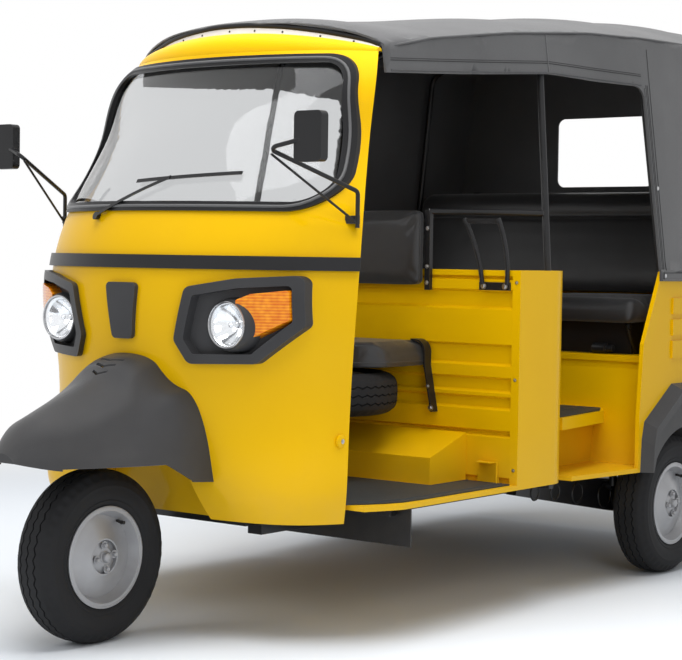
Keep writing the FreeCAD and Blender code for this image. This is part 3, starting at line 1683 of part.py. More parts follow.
def makeMirror():
    arm = mirrorArm(0)
    stem = Vector(stem_x, stem_y, stem_low + (stem_high - stem_low) * stay_share)
    elbow = Vector(elbow_x, elbow_y, elbow_z) + Vector(0, arm_bend, -arm_bend)
    stay = rod(stem, elbow, stay_radius)
    bracket = shapeBox(stem_x - bracket_depth, stem_x, stem_y - bracket_half, stem_y + bracket_half,
                       bracket_z - bracket_half, bracket_z + bracket_half).cut(shellCavity(-seat_gap))
    head_y0 = head_y - head_depth + head_lap
    head = fromFront([
        (head_x - head_half_width, head_z - head_half_height), (head_x + head_half_width, head_z - head_half_height),
        (head_x + head_half_width, head_z + head_half_height), (head_x - head_half_width, head_z + head_half_height),
    ], head_y0, head_y0 + head_depth, head_corner)
    head = head.cut(mirrorArm(running_gap))
    return fuse([arm, stay, bracket]), head


if __name__ == "__main__":
    shell = save("front_shell", makeFrontShell())
    save("windscreen_gasket", makeGasket(shell))
    save("windscreen", makeWindscreen())
    save("wheel_well", makeWheelWell())
    save("front_mudguard", makeMudguard())
    bezel, lens, amber = makeHeadlampSet()
    save("lamp_bezels", Part.makeCompound([bezel, mirrored(bezel), makePlinth()]))
    save("headlamps", both(lens))
    save("front_indicators", both(amber))
    save("front_moulding", makeMoulding())
    save("wiper", makeWiper())
    save("roof_header", makeHeader())
    save("hood", makeHood())
    save("hood_frame", Part.makeCompound(makeHoodFrame()))
    save("cab_floor", makeCabFloor())
    save("passenger_floor", makePassengerFloor())
    save("partition", makePartition())
    save("corner_columns", both(makeColumn()))
    save("rear_tub", Part.makeCompound([makeTub(), makeSeatBase()]))
    save("arch_flares", both(Part.makeCompound(makeFlare())))
    save("seat_frame", makeSeatFrame())
    save("passenger_cushion", makeCushion())
    save("passenger_backrest", makeBackrest())
    save("driver_seat", makeDriverSeat())
    save("driver_backrest", makeDriverPad())
    save("cab_steelwork", Part.makeCompound([makeGuardBars(), makeSpareStand(), makePedal()]))
    tyre = tyreBody()
    rim = rimBody(True)
    save("spare_tyre", layFlat(tyre))
    save("spare_rim", layFlat(rimBody(False)))
    save("front_tyre", placeWheel(tyre, front_hub, 1))
    save("front_rim", placeWheel(rim, front_hub, 1))
    save("left_tyre", placeWheel(tyre, left_hub, 1))
    save("left_rim", placeWheel(rim, left_hub, 1))
    save("right_tyre", placeWheel(tyre, right_hub, -1))
    save("right_rim", placeWheel(rim, right_hub, -1))
    save("front_fork", makeFork())
    save("handlebar", makeHandlebar())
    save("headset", makeHeadset())
    save("chassis", makeChassis())
    save("rear_suspension", both(Part.makeCompound([makeArm(), makeHalfShaft(), makeDamper()])))
    save("engine_block", makeEngine())
    save("silencer", makeSilencer())
    save("engine_door", makeEngineDoor())
    save("door_hinges", makeDoorHinges())
    save("tail_lamps", both(makeTailLamp()))
    save("mud_flap", makeMudFlap())
    arm, head = makeMirror()
    save("mirror_arms", both(arm))
    save("mirror_heads", both(head))
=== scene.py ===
import json
import math
import bmesh
import bpy
import numpy as np
from mathutils import Vector, Matrix, noise
from mathutils.bvhtree import BVHTree


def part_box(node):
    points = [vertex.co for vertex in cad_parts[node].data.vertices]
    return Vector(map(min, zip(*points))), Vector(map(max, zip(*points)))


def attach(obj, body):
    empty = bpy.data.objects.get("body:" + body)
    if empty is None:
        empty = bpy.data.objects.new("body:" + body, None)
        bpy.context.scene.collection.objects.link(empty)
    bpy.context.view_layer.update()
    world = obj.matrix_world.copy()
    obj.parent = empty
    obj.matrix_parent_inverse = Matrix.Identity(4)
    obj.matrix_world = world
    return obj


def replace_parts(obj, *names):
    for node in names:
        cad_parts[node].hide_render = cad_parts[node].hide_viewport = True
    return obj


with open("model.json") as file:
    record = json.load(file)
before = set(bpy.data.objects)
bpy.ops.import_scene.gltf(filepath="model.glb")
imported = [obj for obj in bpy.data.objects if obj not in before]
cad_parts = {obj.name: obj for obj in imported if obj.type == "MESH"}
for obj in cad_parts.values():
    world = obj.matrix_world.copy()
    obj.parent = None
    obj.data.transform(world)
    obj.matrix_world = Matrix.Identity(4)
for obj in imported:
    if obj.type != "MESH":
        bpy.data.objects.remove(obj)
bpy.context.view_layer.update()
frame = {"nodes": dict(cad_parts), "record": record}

nodes = frame["nodes"]
print("frame loaded:", len(nodes), "nodes")


# camera solved on the wheels, so the view is the photograph's
cameraView = {
    "azimuth": 37.799, "pitch": 2.3093, "roll": 0.8706,  # degrees
    "place": (3.58483, -4.75235, 1.06221), "lens": 97.16, "sensor": 36.0,
}


def linkNew(name, data):
    obj = bpy.data.objects.new(name, data)
    bpy.context.scene.collection.objects.link(obj)
    return obj


def aimCamera(view):
    az, pitch, roll = (math.radians(view[k]) for k in ("azimuth", "pitch", "roll"))
    back = Vector((math.sin(az) * math.cos(pitch), -math.cos(az) * math.cos(pitch), math.sin(pitch)))
    right = Vector((math.cos(az), math.sin(az), 0.0))
    up = back.cross(right)
    tiltedRight = right * math.cos(roll) + up * math.sin(roll)
    tiltedUp = up * math.cos(roll) - right * math.sin(roll)
    data = bpy.data.cameras.new("studioCamera")
    data.sensor_fit = "HORIZONTAL"
    data.sensor_width = view["sensor"]
    data.lens = view["lens"]
    data.clip_end = 200.0
    camera = linkNew("studioCamera", data)
    turn = Matrix((tiltedRight, tiltedUp, back)).transposed().to_4x4()
    camera.matrix_world = Matrix.Translation(view["place"]) @ turn
    bpy.context.scene.camera = camera


aimCamera(cameraView)


# short calls that place shader nodes and join them
def feed(tree, socket, value):
    # a socket takes another node's output or a plain value
    if isinstance(value, bpy.types.NodeSocket):
        tree.links.new(value, socket)
    elif socket.type == "RGBA" and len(value) == 3:
        socket.default_value = (*value, 1.0)
    else:
        socket.default_value = value


def addNode(tree, kind, inputs=None, **settings):
    node = tree.nodes.new(kind)
    for name, value in settings.items():
        setattr(node, name, value)
    for name, value in (inputs or {}).items():
        feed(tree, node.inputs[name], value)
    return node


def maths(tree, operation, a, b=0.0, clamp=False):
    node = addNode(tree, "ShaderNodeMath", {0: a, 1: b}, operation=operation, use_clamp=clamp)
    return node.outputs[0]


def mixColours(tree, factor, low, high):
    return addNode(tree, "ShaderNodeMix", {0: factor, 6: low, 7: high}, data_type="RGBA").outputs[2]


def mixNumbers(tree, factor, low, high):
    return addNode(tree, "ShaderNodeMix", {0: factor, 2: low, 3: high}, data_type="FLOAT").outputs[0]


def texture(tree, kind, inputs=None, **settings):
    # texture laid out in the piece's own space
    spot = addNode(tree, "ShaderNodeTexCoord").outputs["Object"]
    return addNode(tree, "ShaderNodeTex" + kind, {"Vector": spot, **(inputs or {})}, **settings)


def newGroup(name, inputs, outputs):
    group = bpy.data.node_groups.new(name, "ShaderNodeTree")
    for label, value in inputs.items():
        group.interface.new_socket(label, in_out="INPUT", socket_type="NodeSocketFloat").default_value = value
    for label in outputs:
        group.interface.new_socket(label, in_out="OUTPUT", socket_type="NodeSocketFloat")
    return group, group.nodes.new("NodeGroupInput").outputs, group.nodes.new("NodeGroupOutput").inputs


# effects that several materials share, each with named inputs
def buildGrain():
    # pebbled grain of moulded plastic, vinyl and coated cloth
    group, given, result = newGroup("pebbleGrain", {"Size": 400.0, "Depth": 1.0}, ["Height", "Mask"])
    cells = texture(group, "Voronoi", {"Scale": given["Size"]}, feature="SMOOTH_F1")
    fine = texture(group, "Noise", {"Scale": maths(group, "MULTIPLY", given["Size"], 2.1), "Detail": 2.0})
    height = maths(group, "ADD", maths(group, "MULTIPLY", cells.outputs["Distance"], 0.7),
                   maths(group, "MULTIPLY", fine.outputs["Fac"], 0.3))
    feed(group, result["Height"], maths(group, "MULTIPLY", height, given["Depth"]))
    feed(group, result["Mask"], height)
    return group


def buildCloudy():
    # slow change of tone over a large face
    group, given, result = newGroup("cloudyTone", {"Size": 3.0, "Contrast": 1.0}, ["Mask"])
    clouds = texture(group, "Noise", {"Scale": given["Size"], "Detail": 3.0, "Roughness": 0.55})
    centred = maths(group, "SUBTRACT", clouds.outputs["Fac"], 0.5)
    scaled = maths(group, "MULTIPLY", centred, given["Contrast"])
    feed(group, result["Mask"], maths(group, "ADD", scaled, 0.5, clamp=True))
    return group


def buildRoadDust():
    # thin dust that gathers low down, broken up by noise
    group, given, result = newGroup("roadDust", {"Bottom": 0.0, "Top": 0.5, "Amount": 0.3}, ["Mask"])
    spot = addNode(group, "ShaderNodeTexCoord").outputs["Object"]
    height = addNode(group, "ShaderNodeSeparateXYZ", {"Vector": spot}).outputs["Z"]
    rise = maths(group, "SUBTRACT", given["Top"], height)
    low = maths(group, "DIVIDE", rise, maths(group, "SUBTRACT", given["Top"], given["Bottom"]), clamp=True)
    patches = texture(group, "Noise", {"Scale": 14.0, "Detail": 5.0, "Roughness": 0.65})
    broken = maths(group, "MULTIPLY", low, maths(group, "MULTIPLY", patches.outputs["Fac"], 1.6))
    feed(group, result["Mask"], maths(group, "MULTIPLY", broken, given["Amount"], clamp=True))
    return group


def buildEdgeHighlight():
    # painted highlight: lighter line along a moulding's or a panel's edges, where light catches them
    group, given, result = newGroup("paintedEdgeHighlight", {"Radius": 0.003, "Amount": 0.5}, ["Mask"])
    rounded = addNode(group, "ShaderNodeBevel", {"Radius": given["Radius"]}, samples=4)
    flat = addNode(group, "ShaderNodeNewGeometry")
    along = addNode(group, "ShaderNodeVectorMath", {0: rounded.outputs["Normal"], 1: flat.outputs["Normal"]},
                    operation="DOT_PRODUCT")
    away = maths(group, "SUBTRACT", 1.0, along.outputs["Value"], clamp=True)
    paintedHighlight = maths(group, "MULTIPLY", maths(group, "MULTIPLY", away, 4.0), given["Amount"], clamp=True)
    feed(group, result["Mask"], paintedHighlight)
    return group


def buildWeave():
    # two crossing sets of threads
    group, given, result = newGroup("crossWeave", {"Pitch": 900.0}, ["Height"])
    spot = addNode(group, "ShaderNodeTexCoord").outputs["Object"]
    heights = []
    for turn in (0.0, math.pi / 2):
        mapped = addNode(group, "ShaderNodeMapping", {"Vector": spot, "Rotation": (0.0, 0.0, turn)})
        threads = {"Vector": mapped.outputs["Vector"], "Scale": given["Pitch"], "Distortion": 0.6}
        wave = texture(group, "Wave", threads, wave_type="BANDS", bands_direction="DIAGONAL")
        heights.append(wave.outputs["Fac"])
    feed(group, result["Height"], maths(group, "MAXIMUM", *heights))
    return group


effects = {"grain": buildGrain(), "cloudy": buildCloudy(), "dust": buildRoadDust(),
           "edgeHighlight": buildEdgeHighlight(), "weave": buildWeave()}
print("shared effects built:", len(effects))


def useEffect(tree, effect, **values):
    return addNode(tree, "ShaderNodeGroup", values, node_tree=effects[effect]).outputs


# each finish starts from its own Principled shader
def startMaterial(name, **values):
    material = bpy.data.materials.new(name)
    material.use_nodes = True
    tree = material.node_tree
    shader = tree.nodes["Principled BSDF"]
    for label, value in values.items():
        feed(tree, shader.inputs[label.replace("_", " ")], value)
    return material, tree, shader


def bumpInto(tree, shader, height, strength, distance):
    bump = addNode(tree, "ShaderNodeBump", {"Height": height, "Strength": strength, "Distance": distance})
    feed(tree, shader.inputs["Normal"], bump.outputs["Normal"])


def mixShaders(tree, factor, first, second):
    mix = addNode(tree, "ShaderNodeMixShader", {0: factor, 1: first, 2: second})
    feed(tree, tree.nodes["Material Output"].inputs["Surface"], mix.outputs["Shader"])


def makeFinish(name, deep, pale, roughness, cloud, grain, layers=(), spread=None, weave=0.0, **shine):
    # two tones in slow clouds, painted edge highlights or dust over them, and a grained relief
    # cloud: size, contrast; grain: size, strength, distance; spread: mask, less and more roughness
    material, tree, shader = startMaterial(name, Roughness=roughness, **shine)
    tone = useEffect(tree, "cloudy", Size=cloud[0], Contrast=cloud[1])["Mask"]
    pebbles = useEffect(tree, "grain", Size=grain[0], Depth=1.0)
    base = mixColours(tree, tone, deep, pale)
    for effect, values, colour in layers:
        base = mixColours(tree, useEffect(tree, effect, **values)["Mask"], base, colour)
    feed(tree, shader.inputs["Base Color"], base)
    if spread:
        mask = tone if spread[0] == "tone" else pebbles["Mask"]
        varied = mixNumbers(tree, mask, roughness - spread[1], roughness + spread[2])
        feed(tree, shader.inputs["Roughness"], varied)
    height = pebbles["Height"]
    if weave:
        threads = useEffect(tree, "weave", Pitch=260.0)["Height"]
        height = maths(tree, "ADD", height, maths(tree, "MULTIPLY", threads, weave))
    bumpInto(tree, shader, height, grain[1], grain[2])
    return material


def makeMoulded(name, deep, pale, roughness, grainSize, depth):
    # lighter tone of the pale colour, painted along the edges as a highlight
    paintedHighlight = tuple(min(1.0, c * 2.6) for c in pale)
    return makeFinish(name, deep, pale, roughness, (6.0, 1.0), (grainSize, depth, 0.0008),
                      [("edgeHighlight", {"Radius": 0.002, "Amount": 0.35}, paintedHighlight),
                       ("dust", {"Bottom": 0.1, "Top": 0.8, "Amount": 0.10}, (0.20, 0.18, 0.15))],
                      ("grain", 0.06, 0.08), Specular_IOR_Level=0.26)


def makeVinyl(name, deep, pale, roughness, grainSize, depth, weave=0.0):
    return makeFinish(name, deep, pale, roughness, (5.0, 1.4), (grainSize, depth, 0.0008),
                      spread=("grain", 0.08, 0.10), weave=weave, Sheen_Weight=0.15, Sheen_Roughness=0.5,
                      Specular_IOR_Level=0.5)


def makeMetal(name, deep, pale, roughness, metallic=1.0, grainSize=700.0, depth=0.1):
    return makeFinish(name, deep, pale, roughness, (16.0, 1.5), (grainSize, depth, 0.0005),
                      spread=("tone", 0.05, 0.08), Metallic=metallic)


def makeGlass(name, tint, haze):
    # clear sheet: a light dust haze breaks up the shine
    material, tree, shader = startMaterial(name, Base_Color=tint, Metallic=0.0, Roughness=0.02, IOR=1.45,
                                           Transmission_Weight=1.0, Specular_IOR_Level=0.12)
    tone = useEffect(tree, "cloudy", Size=7.0, Contrast=1.5)["Mask"]
    feed(tree, shader.inputs["Roughness"], mixNumbers(tree, tone, 0.0, haze))
    path = addNode(tree, "ShaderNodeLightPath")
    clear = addNode(tree, "ShaderNodeBsdfTransparent")
    mixShaders(tree, path.outputs["Is Shadow Ray"], shader.outputs["BSDF"], clear.outputs["BSDF"])
    return material


def makeLens(name, colour, deep, pitch):
    # ribbed and pebbled coloured lens, with the light and shade of its ribs and cells painted into its colour
    material, tree, shader = startMaterial(name, Roughness=0.14, Coat_Weight=0.3, Coat_Roughness=0.04,
                                           Specular_IOR_Level=0.3)
    ribs = texture(tree, "Wave", {"Scale": pitch}, wave_type="BANDS", bands_direction="Z").outputs["Fac"]
    cells = texture(tree, "Voronoi", {"Scale": pitch * 1.6}).outputs["Distance"]
    broken = maths(tree, "MULTIPLY", cells, 0.7)
    paintedRibLight = maths(tree, "ADD", broken, maths(tree, "MULTIPLY", ribs, 0.5), clamp=True)
    # painted light and shade: the colour turns to its deep tone along the ribs and cells
    feed(tree, shader.inputs["Base Color"], mixColours(tree, paintedRibLight, colour, deep))
    bumpInto(tree, shader, maths(tree, "ADD", ribs, cells), 0.5, 0.001)
    return material


def grey(level, tint=0.001):
    # neutral colour with a little more blue
    return (level, level, level + tint)


bodyDust = ("dust", {"Bottom": 0.2, "Top": 0.55, "Amount": 0.12}, (0.45, 0.36, 0.22))
finishes = {
    "body_yellow": makeFinish("bodyYellow", (0.74, 0.415, 0.0005), (0.80, 0.475, 0.001), 0.34, (2.2, 1.2),
                              (220.0, 0.03, 0.0006), [bodyDust], Coat_Weight=0.18, Coat_Roughness=0.06,
                              Specular_IOR_Level=0.06),
    "rubber_black": makeMoulded("rubberBlack", grey(0.008), grey(0.014), 0.36, 260.0, 0.10),
    "clear_glass": makeGlass("clearGlass", (0.60, 0.61, 0.62), 0.04),
    "plastic_dark": makeMoulded("plasticDark", grey(0.030, 0.002), grey(0.048, 0.002), 0.40, 420.0, 0.30),
    "plastic_black": makeMoulded("plasticBlack", grey(0.010), grey(0.018), 0.36, 380.0, 0.15),
    "lamp_glass": makeGlass("lampGlass", (0.98, 0.99, 1.0), 0.02),
    "amber_lens": makeLens("amberLens", (1.0, 0.40, 0.01), (0.70, 0.14, 0.0), 38.0),
    "red_lens": makeLens("redLens", (0.55, 0.02, 0.015), (0.25, 0.005, 0.004), 95.0),
    "hood_vinyl": makeVinyl("hoodVinyl", grey(0.050, 0.002), grey(0.072, 0.002), 0.50, 300.0, 0.25, 0.3),
    # painted highlight: a lighter grey along the frame's edges
    "frame_black": makeFinish("frameBlack", grey(0.007), grey(0.014), 0.34, (8.0, 1.3), (350.0, 0.06, 0.0005),
                              [("edgeHighlight", {"Radius": 0.0015, "Amount": 0.5}, grey(0.11, 0.0))], Coat_Weight=0.12,
                              Coat_Roughness=0.12, Specular_IOR_Level=0.28),
    "seat_vinyl": makeVinyl("seatVinyl", grey(0.014), grey(0.024), 0.40, 330.0, 0.35),
    "tyre_rubber": makeFinish("tyreRubber", grey(0.011), grey(0.022), 0.72, (9.0, 1.6), (520.0, 0.25, 0.0006),
                              spread=("tone", 0.10, 0.08), Specular_IOR_Level=0.22),
    "rim_silver": makeFinish("rimSilver", grey(0.30, 0.01), grey(0.42, 0.01), 0.38, (12.0, 1.2),
                             (1500.0, 0.05, 0.0003), Metallic=0.35, Coat_Weight=0.2, Coat_Roughness=0.2),
    "cast_metal": makeMetal("castMetal", grey(0.20, 0.0), grey(0.32, 0.0), 0.55, 0.85, 260.0, 0.5),
}
slotOf = {row["node"]: row["material_slot"] for row in frame["record"]["subparts"]}
for name, obj in nodes.items():
    obj.data.materials.clear()
    obj.data.materials.append(finishes[slotOf[name]])
print("finishes on", len(slotOf), "nodes")

# finishes of single pieces
# near-black finish painted over the disc's openings as the shade seen through them
paintedHoleShade = makeMoulded("paintedHoleShade", grey(0.004, 0.0), grey(0.006, 0.0), 0.8, 200.0, 0.05)
steelBright = makeMetal("steelBright", grey(0.42, 0.01), grey(0.60, 0.01), 0.28, 1.0, 500.0, 0.08)
steelPale = makeMetal("steelPale", grey(0.62, 0.01), grey(0.76, 0.01), 0.45, 0.2, 500.0, 0.06)
# pale grey of the windscreen's locking strip, partly a painted highlight along the rubber's middle
lockStripAndHighlight = makeMoulded("lockStripAndHighlight", (0.085, 0.086, 0.088), (0.13, 0.13, 0.132), 0.34, 300.0, 0.05)


frontAxle = -1.223  # the front axle's place along the vehicle


def at(x, y, z):
    # a place given in millimetres, with y behind the front axle
    return Vector((x / 1000.0, frontAxle + y / 1000.0, z / 1000.0))


def metres(pairs):
    return [(a / 1000.0, b / 1000.0) for a, b in pairs]


class Shape:
    # corners and faces of one piece, gathered from several forms
    def __init__(self):
        self.corners = []
        self.faces = []

    def add(self, corners, faces):
        base = len(self.corners)
        self.corners += [Vector(c) for c in corners]
        self.faces += [tuple(i + base for i in face) for face in faces]
        return self

    def mirror(self):
        # the same forms again on the other side
        base = len(self.corners)
        self.corners += [Vector((-c.x, c.y, c.z)) for c in self.corners]
        self.faces += [tuple(i + base for i in reversed(face)) for face in list(self.faces)]
        return self

    def skin(self, rows, around=True, closed=False, flip=False):
        # faces from each row of corners to the next, with end faces unless the rows close
        count, last = len(rows[0]), len(rows) - 1
        faces = []
        if not closed:
            faces = [tuple(reversed(range(count))), tuple(range(last * count, (last + 1) * count))]
        for i in range(last + 1 if closed else last):
            n = (i + 1) % (last + 1)
            for j in range(count if around else count - 1):
                k = (j + 1) % count
                faces.append((i * count + j, i * count + k, n * count + k, n * count + j))
        if flip:
            faces = [(face[0],) + tuple(reversed(face[1:])) for face in faces]
        return self.add([corner for row in rows for corner in row], faces)

    def spin(self, profile, centre, axis, segments=32, closed=True):
        # profile of (along, radius) turned about an axis
        axis = Vector(axis).normalized()
        side = axis.orthogonal().normalized()
        up = axis.cross(side)
        rows = []
        for i in range(segments):
            turn = 2 * math.pi * i / segments
            out = side * math.cos(turn) + up * math.sin(turn)
            rows.append([Vector(centre) + axis * along + out * radius for along, radius in profile])
        return self.skin(rows, around=closed, closed=True, flip=True)

    def tube(self, points, radius, sides=12, closed=False, flat=1.0):
        # round or flattened bar along a line
        points = [Vector(p) for p in points]
        rows, up, last = [], None, len(points) - 1
        for i, here in enumerate(points):
            before = points[i - 1] if i or closed else here
            after = points[(i + 1) % len(points)] if i < last or closed else here
            way = (after - before).normalized()
            up = way.orthogonal().normalized() if up is None else (up - way * up.dot(way)).normalized()
            side = way.cross(up)
            turns = [2 * math.pi * k / sides for k in range(sides)]
            rows.append([here + up * (radius * math.cos(t)) + side * (radius * flat * math.sin(t))
                         for t in turns])
        return self.skin(rows, closed=closed)

    def prism(self, outline, shift):
        # flat outline of places, run along shift
        low = [Vector(p) for p in outline]
        return self.skin([low, [p + Vector(shift) for p in low]])

    def bolt(self, place, axis, radius, height, sides=6):
        # washer with a bevelled head
        washer = height * 0.25
        self.spin([(0, 0), (0, radius * 1.5), (washer, radius * 1.5), (washer, 0)], place, axis, 20)
        head = [(washer, 0), (washer, radius), (height * 0.8, radius), (height, radius * 0.75), (height, 0)]
        return self.spin(head, place, axis, sides)


def dress(obj, slotName, body="frame", finish=None):
    # finish, body and slot of one piece
    obj.data.materials.clear()
    obj.data.materials.append(finish or finishes[slotName])
    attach(obj, body)
    return obj


def meshOf(name, shape, merge=False, recalc=True, bevel=0.0, sharpAngle=38.0):
    mesh = bpy.data.meshes.new(name)
    mesh.from_pydata([tuple(c) for c in shape.corners], [], shape.faces)
    work = bmesh.new()
    work.from_mesh(mesh)
    if merge:
        bmesh.ops.remove_doubles(work, verts=work.verts, dist=2e-6)
        bmesh.ops.dissolve_degenerate(work, edges=work.edges, dist=1e-6)
    if recalc:
        bmesh.ops.recalc_face_normals(work, faces=work.faces)
    if bevel:
        edges = [e for e in work.edges if e.is_manifold and e.calc_face_angle(0.0) > math.radians(sharpAngle)]
        bmesh.ops.bevel(work, geom=edges, offset=bevel, segments=2, affect="EDGES", clamp_overlap=True)
    work.to_mesh(mesh)
    work.free()
    return mesh


def addPiece(name, shape, slotName, body="frame", finish=None, bevel=0.0, sharpAngle=38.0, recalc=True):
    mesh = meshOf(name, shape, True, recalc, bevel, sharpAngle)
    mesh.shade_smooth()
    mesh.set_sharp_from_angle(angle=math.radians(sharpAngle))
    return dress(linkNew(name, mesh), slotName, body, finish)


def smoothPath(points, steps=8):
    # curve through all the points
    points = [Vector(p) for p in points]
    path = []
    last = len(points) - 1
    for i in range(last):
        p0, p1, p2, p3 = points[max(i - 1, 0)], points[i], points[i + 1], points[min(i + 2, last)]
        for k in range(steps):
            t = k / steps
            path.append(0.5 * ((2 * p1) + (p2 - p0) * t + (2 * p0 - 5 * p1 + 4 * p2 - p3) * t * t
                               + (3 * p1 - p0 - 3 * p2 + p3) * t ** 3))
    return path + [points[-1]]


def finely(points, step):
    # closed line of flat points, cut into runs of about one step
    dense = []
    for a, b in zip(points, points[1:] + points[:1]):
        pieces = max(1, int((b - a).length / step))
        dense += [a.lerp(b, k / pieces) for k in range(pieces)]
    return dense


def copyNode(name):
    # loose copy of a solid's mesh, in the scene's own axes
    mesh = nodes[name].data.copy()
    mesh.transform(nodes[name].matrix_world)
    mesh.name = name + "Copy"
    return mesh


def surfaceTree(obj):
    return BVHTree.FromPolygons([obj.matrix_world @ v.co for v in obj.data.vertices],
                                [tuple(p.vertices) for p in obj.data.polygons])


def castPath(tree, starts, way, lift=0.0):
    # places on a surface found from outside, along one direction
    way = Vector(way)
    hits = [tree.ray_cast(Vector(start), way)[0] for start in starts]
    return [hit - way * lift for hit in hits if hit is not None]


# tyres: zigzag grooves, shoulder nicks and sidewall rings on the solid's own section
tyreForm = {
    "radius": 237.5, "periods": 46, "phases": (0.0, 1.0, 0.0, -1.0), "treadHalf": 38.0,
    "crown": (44.0, 7.5, 3.2),  # half width, drop at the shoulder and power of the tread's curve
    "grooves": (-25.0, 0.0, 25.0), "grooveHalf": 2.4, "grooveDepth": 6.5, "zigzag": 3.2, "nick": 1.6,
    "wall": [(50.8, 130.0), (50.8, 138.2), (53.5, 143.0), (57.0, 148.0), (59.6, 152.0), (59.8, 155.0),
             (58.6, 156.5), (60.4, 160.0), (62.2, 172.0), (63.0, 184.0), (62.6, 192.0), (63.0, 193.5),
             (63.0, 195.5), (62.2, 197.0), (60.6, 205.0), (57.6, 212.0)],
    "shoulder": [(55.0, 216.5, 1.0), (51.0, 222.0, 1.0), (46.5, 227.4, 0.6), (43.0, 230.2, 0.0)],
}


def crownRadius(x):
    # the tread's height over its width
    half, drop, power = tyreForm["crown"]
    return tyreForm["radius"] - drop * min(1.0, abs(x) / half) ** power


def tyreSection(phase, nicked):
    # one radial section: (across, radius) from one bead over the tread to the other
    nick = tyreForm["nick"] if nicked else 0.0
    half = tyreForm["wall"] + [(x - nick * share, r - nick * share) for x, r, share in tyreForm["shoulder"]]
    edge, deep = tyreForm["grooveHalf"], tyreForm["grooveDepth"]
    tread = [(-tyreForm["treadHalf"], 0.0)]
    for groove in tyreForm["grooves"]:
        middle = groove + tyreForm["zigzag"] * phase
        tread += [(middle - edge, 0.0), (middle - edge + 1.0, deep), (middle + edge - 1.0, deep),
                  (middle + edge, 0.0)]
    tread = [(x, crownRadius(x) - depth) for x, depth in tread + [(tyreForm["treadHalf"], 0.0)]]
    return [(-x, r) for x, r in half] + tread + list(reversed(half))


def tyreShape(centre, axis, side):
    phases = tyreForm["phases"]
    segments = tyreForm["periods"] * len(phases)
    rows = []
    for i in range(segments):
        turn = 2 * math.pi * i / segments
        out = side * math.cos(turn) + axis.cross(side) * math.sin(turn)
        section = metres(tyreSection(phases[i % 4], i % 4 in (0, 1)))
        rows.append([centre + axis * x + out * r for x, r in section])
    return Shape().skin(rows, closed=True)


# hub nuts, dust cap, pressed ring, valve and the painted shade in the disc slots, outside every wheel's disc
hubForm = {
    "nuts": 4, "nutRing": 0.033, "nutRadius": 0.0075, "nutHeight": 0.011, "face": 0.050,
    "cap": [(49, 0), (49, 17), (52, 17), (53, 15), (60, 14.2), (64, 12), (66, 7), (66.5, 0)],
    "ring": [(25.4, 86), (27.6, 88), (28.4, 92), (27.6, 96), (25.4, 98)],
    "lip": [(55.0, 132.6), (57.2, 134), (57.6, 137), (56.2, 139.4), (54.6, 138.4)],
    "valveRing": 0.113, "slots": 8, "slotRing": 0.1065, "slotFace": 0.0262, "slotHalf": (0.0115, 0.0048),
}


def hubShape(centre, axis, side):
    shape = Shape()
    up = axis.cross(side)
    for i in range(hubForm["nuts"]):
        turn = math.pi / 4 + 2 * math.pi * i / hubForm["nuts"]
        place = centre + (side * math.cos(turn) + up * math.sin(turn)) * hubForm["nutRing"]
        shape.bolt(place + axis * hubForm["face"], axis, hubForm["nutRadius"], hubForm["nutHeight"])
    for part, segments in (("cap", 28), ("ring", 72), ("lip", 72)):
        shape.spin(metres(hubForm[part]), centre, axis, segments)
    return shape


def valveShape(centre, axis, side):
    foot = centre + side * hubForm["valveRing"]
    stem = [foot + axis * along - side * lean
            for along, lean in ((0.018, 0.0), (0.030, 0.001), (0.047, 0.004))]
    cap = [(0, 0), (0, 0.0056), (0.011, 0.0050), (0.012, 0)]
    return Shape().tube(stem, 0.0042, 10).spin(cap, foot + axis * 0.046 - side * 0.004, axis, 12)


def slotShape(centre, axis, side):
    # dark ovals painted over the disc as the shade seen through its small pressed openings
    shape = Shape()
    up = axis.cross(side)
    wide, tall = hubForm["slotHalf"]
    for i in range(hubForm["slots"]):
        turn = 2 * math.pi * (i + 0.5) / hubForm["slots"]
        out = side * math.cos(turn) + up * math.sin(turn)
        place = centre + out * hubForm["slotRing"] + axis * hubForm["slotFace"]
        turns = [2 * math.pi * k / 20 for k in range(20)]
        ring = [place + axis.cross(out) * (wide * math.cos(a)) + out * (tall * math.sin(a)) for a in turns]
        shape.prism(ring, axis * 0.0008)
    return shape


wheels = {  # centre, and the side that the disc faces
    "front": (at(0, 0, 237.5), 1), "left": (at(606.5, 2100, 237.5), 1),
    "right": (at(-606.5, 2100, 237.5), -1),
}
for label, (hub, hand) in wheels.items():
    body = label + "_wheel"
    axis, side = Vector((hand, 0, 0)), Vector((0, 0.6, 0.8))
    tyre = addPiece(label + "TyreTread", tyreShape(hub, axis, side), "tyre_rubber", body, sharpAngle=30.0)
    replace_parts(tyre, label + "_tyre")
    addPiece(label + "HubTrim", hubShape(hub, axis, side), "rim_silver", body)
    addPiece(label + "Valve", valveShape(hub, axis, side), "rubber_black", body)
    # painted shade: dark ovals over the disc's openings
    addPiece(label + "DiscSlotShade", slotShape(hub, axis, side), "rim_silver", body, finish=paintedHoleShade)
spareShape = tyreShape(at(100, 862, 649), Vector((0, 0, 1)), Vector((0.6, 0.8, 0)))
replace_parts(addPiece("spareTyreTread", spareShape, "tyre_rubber", sharpAngle=30.0), "spare_tyre")
print("tyres and hubs made")


